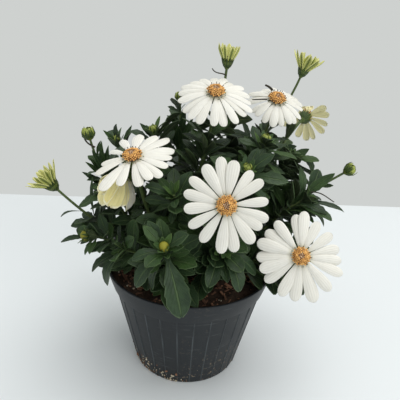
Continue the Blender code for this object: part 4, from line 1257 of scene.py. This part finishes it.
def makeCrown():
    centre, radius = crownPlace["centre"], crownPlace["radius"]
    foot = soilSizes["top"] + airGap / mm
    profile = [(math.sqrt(radius ** 2 - (foot - centre.z) ** 2), foot - centre.z)]
    for degrees in range(20, 90, 8):
        angle = math.radians(degrees)
        profile.append((radius * math.cos(angle), radius * math.sin(angle)))
    crown = turnedBody(profile, crownShape["columns"])
    crown.data.transform(Matrix.Translation(centre * mm))
    for vertex in crown.data.vertices:
        if vertex.co.z > (foot + 0.5) * mm:
            out = (vertex.co - centre * mm).normalized()
            knots = noise.fractal(out * crownShape["knots"], 1.0, 2.0, 3)
            high = crownShape["knotHeight"]
            vertex.co += out * (high * knots - high) * mm
    wear(crown, "crownBark")
    smooth(crown)
    settle([crown], "woodyCrown", "woody_stem", "crown")


# the shoots

leafShape = {
    "roundBuds": ("front_rosette", "low_left"),  # still shut, with a round yellow heart
    "broad": ("front_right", "front", "low_right", "left_hanging", "right_low", "right_high",
              "right_bud", "back_right", "back", "back_left", "back_low_right", "rear_high"),
    "shorter": {"low_left": 0.66, "left_mid": 0.85, "upper_left_bud": 0.9, "right_bud": 0.93,
                "back": 0.84, "front_right": 0.8},
    "placedLength": 0.97,
    "half": 0.45, "placedHalf": 0.49, "broadHalf": 0.50,  # half the width, over the planned width
    "placedFrom": 15 * mm, "toothedFrom": 9.0 * mm, "wavyFrom": 7.5 * mm, "wavyShare": 0.4,
    "wave": 0.12,
    "placedShadeTones": 0.3, "frontTones": 0.6,  # the highest tone of some leaves, 1 for the rest; the lower tones are painted shade
}
whorlShape = {
    "count": 8, "length": 13.0, "width": 4.4, "sizes": (0.75, 1.1), "lean": (18, 48), "wave": 0.1,
    "below": 1.5, "step": 0.8,
}
clearWhorl = {**whorlShape, "count": 6, "length": 6.5, "width": 3.0}
budForm = {  # wide and high as shares of the bud's radius and length
    "foot": 1.1, "profile": ((0.64, 0.12), (0.82, 0.3), (0.84, 0.5), (0.74, 0.68), (0.50, 0.82),
                             (0.14, 0.89)),
    "fullRings": 4, "full": 1.12,  # how much wider a round bud's middle rings are
    "small": (12, 9), "large": (20, 13),  # columns of the core, and bracts
    "tipHalf": 0.25, "tipReach": (0.86, 1.0), "tipInward": (0.25, 0.62),
    "bractHalf": (0.24, 0.30), "bractReach": (0.70, 0.98), "bractInward": (0.78, 1.06),
}


# placed leaves and the front right shoot's leaves get low tones: painted shade that keeps these
# leaves, which face the light, darker
def leafTone(name, kind):
    if kind == "placed":
        return leafShape["placedShadeTones"] * dice.random()
    return dice.random() * (leafShape["frontTones"] if name == "front_right" else 1.0)


def leafCopies(name):
    s = leafShape
    copies = []
    shorter = s["shorter"].get(name, 1.0)
    isBroad = name in s["broad"]
    for foot, middle, tip, upper, width, kind in plan[name]:
        half = s["broadHalf"] if isBroad or kind == "slight" else s["half"]
        if kind == "placed":
            half = s["placedHalf"] if width > s["placedFrom"] else s["half"]
        size = {"placed": s["placedLength"], "grown": shorter}.get(kind, 1.0)
        if size != 1.0:
            middle, tip = foot.lerp(middle, size), foot.lerp(tip, size)
        if kind == "placed" or (isBroad and width > s["toothedFrom"]):
            pattern = "bigLeaf"
        elif width > s["wavyFrom"] or dice.random() < s["wavyShare"]:
            pattern = "leaf"
        else:
            pattern = "plainLeaf"
        copies.append(bendStrip(pattern, foot, middle, tip, upper, width * half,
                                leafTone(name, kind), s["wave"]))
    return copies


def tipWhorl(tip, aim, shape, longer=1.0):
    axes = axesOf(aim)
    copies = []
    for k in range(shape["count"]):
        out = outAt(axes, growth["turn"] * k)
        lean = math.radians(dice.uniform(*shape["lean"]))
        way = aim * math.cos(lean) + out * math.sin(lean)
        size = shape["length"] * longer * dice.uniform(*shape["sizes"]) * mm
        foot = tip - aim * (shape["below"] + shape["step"] * k) * mm
        copies.append(bendStrip("youngLeaf", foot, foot + way * size * 0.55 - out * size * 0.04,
                                foot + way * size + out * size * 0.10, aim - out * 0.8,
                                shape["width"] / 2 * mm, dice.random(), shape["wave"]))
    return copies


def budShape(foot, aim, length, radius, kind, heart, isRound=False):
    # a turned core, striped petal tips closing over it, and pointed bracts that hug its belly
    b = budForm
    columns, bracts = b[kind]
    profile = [(b["foot"], 0.0)]
    for i, (wide, high) in enumerate(b["profile"]):
        full = b["full"] if isRound and 1 <= i <= b["fullRings"] else 1.0
        profile.append((radius * wide * full, length * high))
    copies = [standingBody(profile, columns, foot, aim, heart)]
    axes = axesOf(aim)
    for k in range(bracts * 2):
        out = outAt(axes, math.tau * (k / 2 + 0.25 * dice.random()) / bracts)
        isPetalTip = k % 2 == 1
        if isPetalTip and isRound:
            continue
        if isPetalTip:
            tall = dice.uniform(*b["tipReach"]) * length
            copies.append(bendStrip(
                "budTip", foot + out * radius * 0.6 * mm + aim * length * 0.3 * mm,
                foot + out * radius * 1.16 * mm + aim * tall * 0.70 * mm,
                foot + out * radius * dice.uniform(*b["tipInward"]) * mm + aim * tall * mm,
                aim * 0.3 - out, radius * b["tipHalf"] * mm, dice.random()))
            continue
        tall = dice.uniform(*b["bractReach"]) * length
        copies.append(bendStrip(
            "budBract", foot + out * 1.0 * mm + aim * 0.3 * mm,
            foot + out * radius * 1.66 * mm + aim * tall * 0.42 * mm,
            foot + out * radius * dice.uniform(*b["bractInward"]) * mm + aim * tall * mm, out,
            radius * dice.uniform(*b["bractHalf"]) * mm, dice.random()))
    return copies


def makeShoot(name, shoot):
    start, startHandle, endHandle, end = handles[name]
    reach = end if "tip" in shoot else end + (end - endHandle).normalized() * airGap * 2
    stem = growTube((start, startHandle, endHandle, reach),
                    (shoot["radius"] * 0.98, shoot["radius"] * 0.74), "stemGreen")
    copies = [stem] + leafCopies(name)
    if "tip" in shoot:
        aim = Vector(shoot["aim"]).normalized()
        if name == "rear_left":  # its bud stands clear of its leaves
            copies += tipWhorl(end - aim * 2 * mm, aim, clearWhorl)
        else:
            copies += tipWhorl(end, aim, whorlShape, max(0.8, leafShape["shorter"].get(name, 1.0)))
        if "bud" in shoot:
            isRound = name in leafShape["roundBuds"]
            copies += budShape(end - aim * mm, aim, shoot["bud"] * 2 + 1, shoot["bud"], "small",
                               "budHeart" if isRound else "budCore", isRound)
    settle(copies, camel(name) + "Shoot", "leaf_green", name + "_shoot")


# the open flowers

flowerShape = {
    "petalStart": 4.0, "halfWidth": 0.145, "widths": (0.82, 1.04), "lengths": (0.93, 1.04),
    "crowdedFrom": 17, "crowded": 0.9, "arch": 1.3, "layer": 0.3, "twist": 0.12, "wave": 0.05,
    "turnedAway": ("back_right", "nodding"),  # seen from their yellow backs
    "folded": (205, 0.64, -82),  # from which angle on, how much shorter, and how they fall
    "cup": {"top": -1.2, "depth": 8.0, "radius": 6.3, "bracts": 14, "reachUp": 1.6},
    "slimCup": ("back_right", 0.8),
}
# where the picture shows each petal: its angle round the head in degrees, and its tip's reach
petalPlaces = {
    "front": [(11.9, 27.8), (39.6, 29.8), (56.4, 29.3), (81.8, 28.3), (102.8, 25.7), (117, 27.0),
              (142.2, 25.5), (170.6, 26.7), (189.8, 26.1), (216.1, 27.6), (233.8, 29.8),
              (255.9, 28.3), (280.1, 28.3), (300.8, 27.6), (321.7, 26.2), (346.7, 26.9)],
    "low_right": [(17.4, 29.9), (37, 30.6), (61.3, 32), (84.9, 29.7), (111.5, 29.5), (128, 27),
                  (145.7, 26), (170.7, 25.7), (196.8, 26), (218.5, 30.4), (230.9, 28.3),
                  (260.2, 28.6), (279.2, 28.6), (297.4, 30.3), (316.4, 29.5), (334, 29),
                  (351.1, 29.7)],
    "left": [(17.7, 29.5), (41.1, 28.7), (69, 25.8), (103.6, 20), (137, 22), (159.5, 26.7),
             (186.8, 32), (207.7, 25), (237.6, 25.4), (256, 25), (274.3, 25.8), (295, 25),
             (314, 25.8), (333.6, 28.7), (357.4, 30.8)],
    "nodding": [(345, 24), (327, 29.5), (309, 29.5), (288, 25), (264, 27.5), (244, 22), (205, 16),
                (170, 17), (130, 18), (90, 18), (45, 19), (15, 20)],
}


def evenPetals(head):
    step = 360 / head["petals"]
    return [(head["start"] + step * i + dice.uniform(-4, 4),
             head["reach"] * dice.uniform(*flowerShape["lengths"])) for i in range(head["petals"])]


def foldedPetals(head):  # the petals that would stand above this flower are folded forward
    first, shorter, fall = flowerShape["folded"]
    return [(angle, reach * shorter, fall) if angle > first else (angle, reach, head["fall"])
            for angle, reach in evenPetals(head)]


def makePetals(name, head):
    centre, facing = standOf(head)
    side, other = axes = axesOf(facing)
    f = flowerShape
    start = f["petalStart"]
    isAway = name in f["turnedAway"]
    crowded = f["crowded"] if head["petals"] >= f["crowdedFrom"] else 1.0
    copies = []
    places = petalPlaces.get(name) or evenPetals(head)
    if name == "back_right":
        places = foldedPetals(head)
    for i, (degrees, reach, *folded) in enumerate(places):
        fall = math.radians((folded[0] if folded else head["fall"]) + dice.uniform(-4, 4))
        angle = math.radians(degrees)
        out = outAt(axes, angle)
        long = reach - start
        level = f["layer"] if i % 2 else -f["layer"]  # every other petal lies a little higher
        foot = centre + (out * start + facing * (level * 0.5 - 0.3)) * mm
        middle = centre + (out * (start + long * 0.52 * math.cos(fall * 0.5)) + facing
                           * (f["arch"] + level - long * 0.5 * math.sin(fall * 0.5))) * mm
        tip = centre + (out * (start + long * math.cos(fall)) - facing
                        * (long * math.sin(fall) + 0.4 - level)) * mm
        aside = -side * math.sin(angle) + other * math.cos(angle)
        upper = facing + aside * dice.uniform(-f["twist"], f["twist"])
        wide = f["halfWidth"] * crowded
        kind = "yellow" if isAway else "white"
        if name == "nodding":
            # the cream petals on this side are paler: partly their own colour, partly painted
            # light against their shade
            kind = "cream" if 150 < degrees < 280 else "yellow"
            wide *= 1.2 if kind == "cream" else 1.5
        half = reach * wide * dice.uniform(*f["widths"]) * mm
        copies.append(bendStrip(kind, foot, middle, tip, upper, half, dice.random(), f["wave"]))
    slot = "pale_yellow_petal" if isAway else "white_petal"
    settle(copies, camel(name) + "Petals", slot, name + "_flower_petals")


def makeFloret(profile, finish):
    floret = turnedBody(profile, 6)
    wear(floret, finish)
    floret.data.attributes.new("tone", "FLOAT", "POINT")
    smooth(floret, 50)
    return floret


florets = {
    "open": makeFloret([(0.24, -0.3), (0.30, 0.6), (0.54, 1.05), (0.26, 0.9)], "discFlorets"),
    "tipped": makeFloret([(0.16, 0.0), (0.20, 1.9), (0.34, 2.2), (0.22, 2.7)], "darkTip"),
    "shut": makeFloret([(0.30, -0.3), (0.46, 0.35), (0.30, 0.8), (0.06, 0.92)], "discHeart"),
}


discShape = {
    "dome": ((0.93, 0.0), (1.0, 0.25), (0.93, 0.5), (0.7, 0.72), (0.35, 0.84)), "columns": 24,
    "florets": 104, "sizes": (0.85, 1.3), "openFrom": 0.34, "openLarger": 1.05, "shutSmaller": 0.9,
    "tipped": {"top_right": 18, "left": 12, "top": 10, "front": 6, "low_right": 8},
    "tippedOut": (0.74, 0.96), "tippedLean": (0.25, 0.6),
}


def makeDisc(name, head):
    d = discShape
    centre, facing = standOf(head)
    axes = axesOf(facing)
    radius, height = head["disc"]
    dome = [(radius * 0.9 * wide, 0.3 + height * high) for wide, high in d["dome"]]
    copies = [standingBody(dome, d["columns"], centre, facing, "discCore")]

    def standFloret(kind, place, way, size, tone):
        matrix = Matrix.Translation(place) @ turnTo(way) @ Matrix.Scale(size, 4)
        copies.append(placeCopy(florets[kind], matrix, tone))

    count = d["florets"]
    for k in range(count):
        share = math.sqrt((k + 0.5) / count)
        out = outAt(axes, growth["turn"] * k)
        isOpen = share > d["openFrom"] + dice.uniform(-0.06, 0.06)
        high = 0.2 + height * (0.86 - 0.66 * share ** 2.4)
        place = centre + (out * radius * 0.95 * share + facing * high) * mm
        way = (facing + out * share ** 2 * 0.9).normalized()
        size = dice.uniform(*d["sizes"]) * d["openLarger" if isOpen else "shutSmaller"]
        standFloret("open" if isOpen else "shut", place, way, size,
                    dice.random() * 0.8 + (0.2 if isOpen else 0.0))
    for k in range(d["tipped"].get(name, 0)):
        out = outAt(axes, growth["turn"] * k + 0.4)
        aside = out * radius * dice.uniform(*d["tippedOut"])
        place = centre + (aside + facing * height * 0.35) * mm
        way = (facing + out * dice.uniform(*d["tippedLean"])).normalized()
        standFloret("tipped", place, way, 1.0, dice.random())
    settle(copies, camel(name) + "Disc", "disc_orange", name + "_flower_disc")


cupForm = {  # how wide the cup is from its foot up, and how far out its bracts bend
    "bractGreen": ((0.60, 0.84, 0.94, 0.92), 1.12),
    "budBract": ((0.42, 0.64, 0.80, 0.88), 0.86),
    "levels": (0.74, 0.5, 0.25), "foot": 1.45, "columns": 20,
    "bractHalf": 0.27, "bractSpread": (1.06, 1.2), "bractReach": (0.8, 1.15),
}


def makeCup(name, row, cup, node, finish="bractGreen"):
    c = cupForm
    centre, facing = standOf(row)
    axes = axesOf(facing)
    top, depth, radius = cup["top"], cup["depth"], cup["radius"]
    swell, bend = c[finish]
    body = [(c["foot"], top - depth)]
    body += [(radius * wide, top - depth * low) for wide, low in zip(swell, c["levels"])]
    body.append((radius * swell[3], top - 0.1))
    copies = [standingBody(body, c["columns"], centre, facing, finish)]
    for k in range(cup["bracts"]):
        out = outAt(axes, math.tau * (k + 0.25 * dice.random()) / cup["bracts"])
        high = cup["reachUp"] * dice.uniform(*c["bractReach"])
        foot = centre + (out * 1.5 + facing * (top - depth + 0.5)) * mm
        middle = centre + (out * radius * bend + facing * (top - depth * 0.70)) * mm
        tip = centre + (out * radius * dice.uniform(*c["bractSpread"])
                        + facing * (top + high)) * mm
        copies.append(bendStrip(finish, foot, middle, tip, out, radius * c["bractHalf"] * mm,
                                dice.random()))
    settle(copies, camel(name) + "Cup", "calyx_green", node)


# the half-open and the closed buds

openingShape = {
    "cup": {"top": -0.9, "depth": 5.1, "bracts": 12, "reachUp": 5.0},
    "inset": 0.78, "layers": ((0, 1.0, 1.0), (4, 0.86, 0.45)),  # petals fewer, length, lean
    "layerInward": 0.35, "lengths": (0.88, 1.0), "widths": (0.85, 1.1), "wave": 0.05,
}


def makeOpeningBud(name, bud):
    o = openingShape
    centre, facing = standOf(bud)
    makeCup(name, bud, {**o["cup"], "radius": bud["cup"]}, name + "_calyx", "budBract")
    axes = axesOf(facing)
    copies = []
    for layer, (fewer, share, leanShare) in enumerate(o["layers"]):
        count = bud["petals"] - fewer
        for i in range(count):
            angle = math.tau * (i + 0.5 * layer) / count + dice.uniform(-0.12, 0.12)
            out = outAt(axes, angle)
            lean = math.radians(bud["lean"] * leanShare + dice.uniform(-4, 4))
            long = bud["reach"] * share * dice.uniform(*o["lengths"])
            inward = bud["cup"] * o["inset"] * (1 - o["layerInward"] * layer)
            foot = centre + (out * inward * 0.7 + facing * -0.4) * mm
            middle = centre + (out * (inward + long * 0.30 * math.sin(lean) + 1.0)
                               + facing * long * 0.45) * mm
            tip = centre + (out * (inward + long * math.sin(lean)) + facing
                            * long * math.cos(lean)) * mm
            half = bud["petalHalf"] * dice.uniform(*o["widths"]) * mm
            copies.append(bendStrip("bud", foot, middle, tip, facing * 0.3 - out, half,
                                    dice.random(), o["wave"]))
    settle(copies, camel(name) + "Petals", "bud_petal", name + "_petals")


def makeClosedBud(name, bud):
    foot, facing = standOf(bud)
    length, radius = bud["length"] * bud["slim"], bud["radius"] * bud["slim"]
    copies = budShape(foot, facing, length, radius, "large", "budCore")
    settle(copies, camel(name), "calyx_green", name)


makePot()
makeSoil()
bark, grit = crumbPattern("barkChip"), crumbPattern("paleGrit")
makeChips(bark, grit)
makePotCrumbs(bark, grit)
makeCrown()
print("pot, soil and crown are made")
for name, shoot in shoots.items():
    makeShoot(name, shoot)
print("shoots are made")
for name, head in heads.items():
    makePetals(name, head)
    makeDisc(name, head)
    cup = dict(flowerShape["cup"])
    slimHead, slimmer = flowerShape["slimCup"]
    if name == slimHead:
        cup["radius"] *= slimmer
    makeCup(name, head, cup, name + "_flower_calyx")
print("flowers are made")
for name, bud in openingBuds.items():
    makeOpeningBud(name, bud)
for name, bud in closedBuds.items():
    makeClosedBud(name, bud)
print("buds are made")

# dried ends of stalks and old rolled petals: start, both handles, end, and thickness at each end
driedBits = {
    "top_bud": [((20.2, 29.0, 226.0), (16.7, 28, 228.5), (12.0, 26, 226.5), (9.4, 26, 231.0),
                 0.5, 0.35)],
    "top_right": [((56.0, 37.5, 215.5), (54, 38, 218), (52, 38, 218.6), (50.2, 38, 219.2),
                   1.0, 0.7),
                  ((51.0, 24.5, 211.2), (47, 24, 211.4), (43, 24, 210.6), (39.9, 24, 210.6),
                   0.6, 0.4)],
    "right_low": [((86.0, -4.0, 151.0), (93, -5, 153), (98, -5, 148), (103.9, -5, 144.7),
                   0.5, 0.35)],
    "upper_left_bud": [((-73.6, 9.0, 172.6), (-77, 9, 174), (-81, 9, 175.6), (-81.6, 9, 181.0),
                        0.7, 0.6)],
}
for name, bits in driedBits.items():
    tubes = [growTube([Vector(point) * mm for point in points], (thick, thin), "driedStalk")
             for *points, thick, thin in bits]
    settle(tubes, camel(name) + "DriedBit", "woody_stem")
print("dried bits are made")

for pattern in (bark, grit, *strips.values(), *florets.values()):
    bpy.data.objects.remove(pattern)
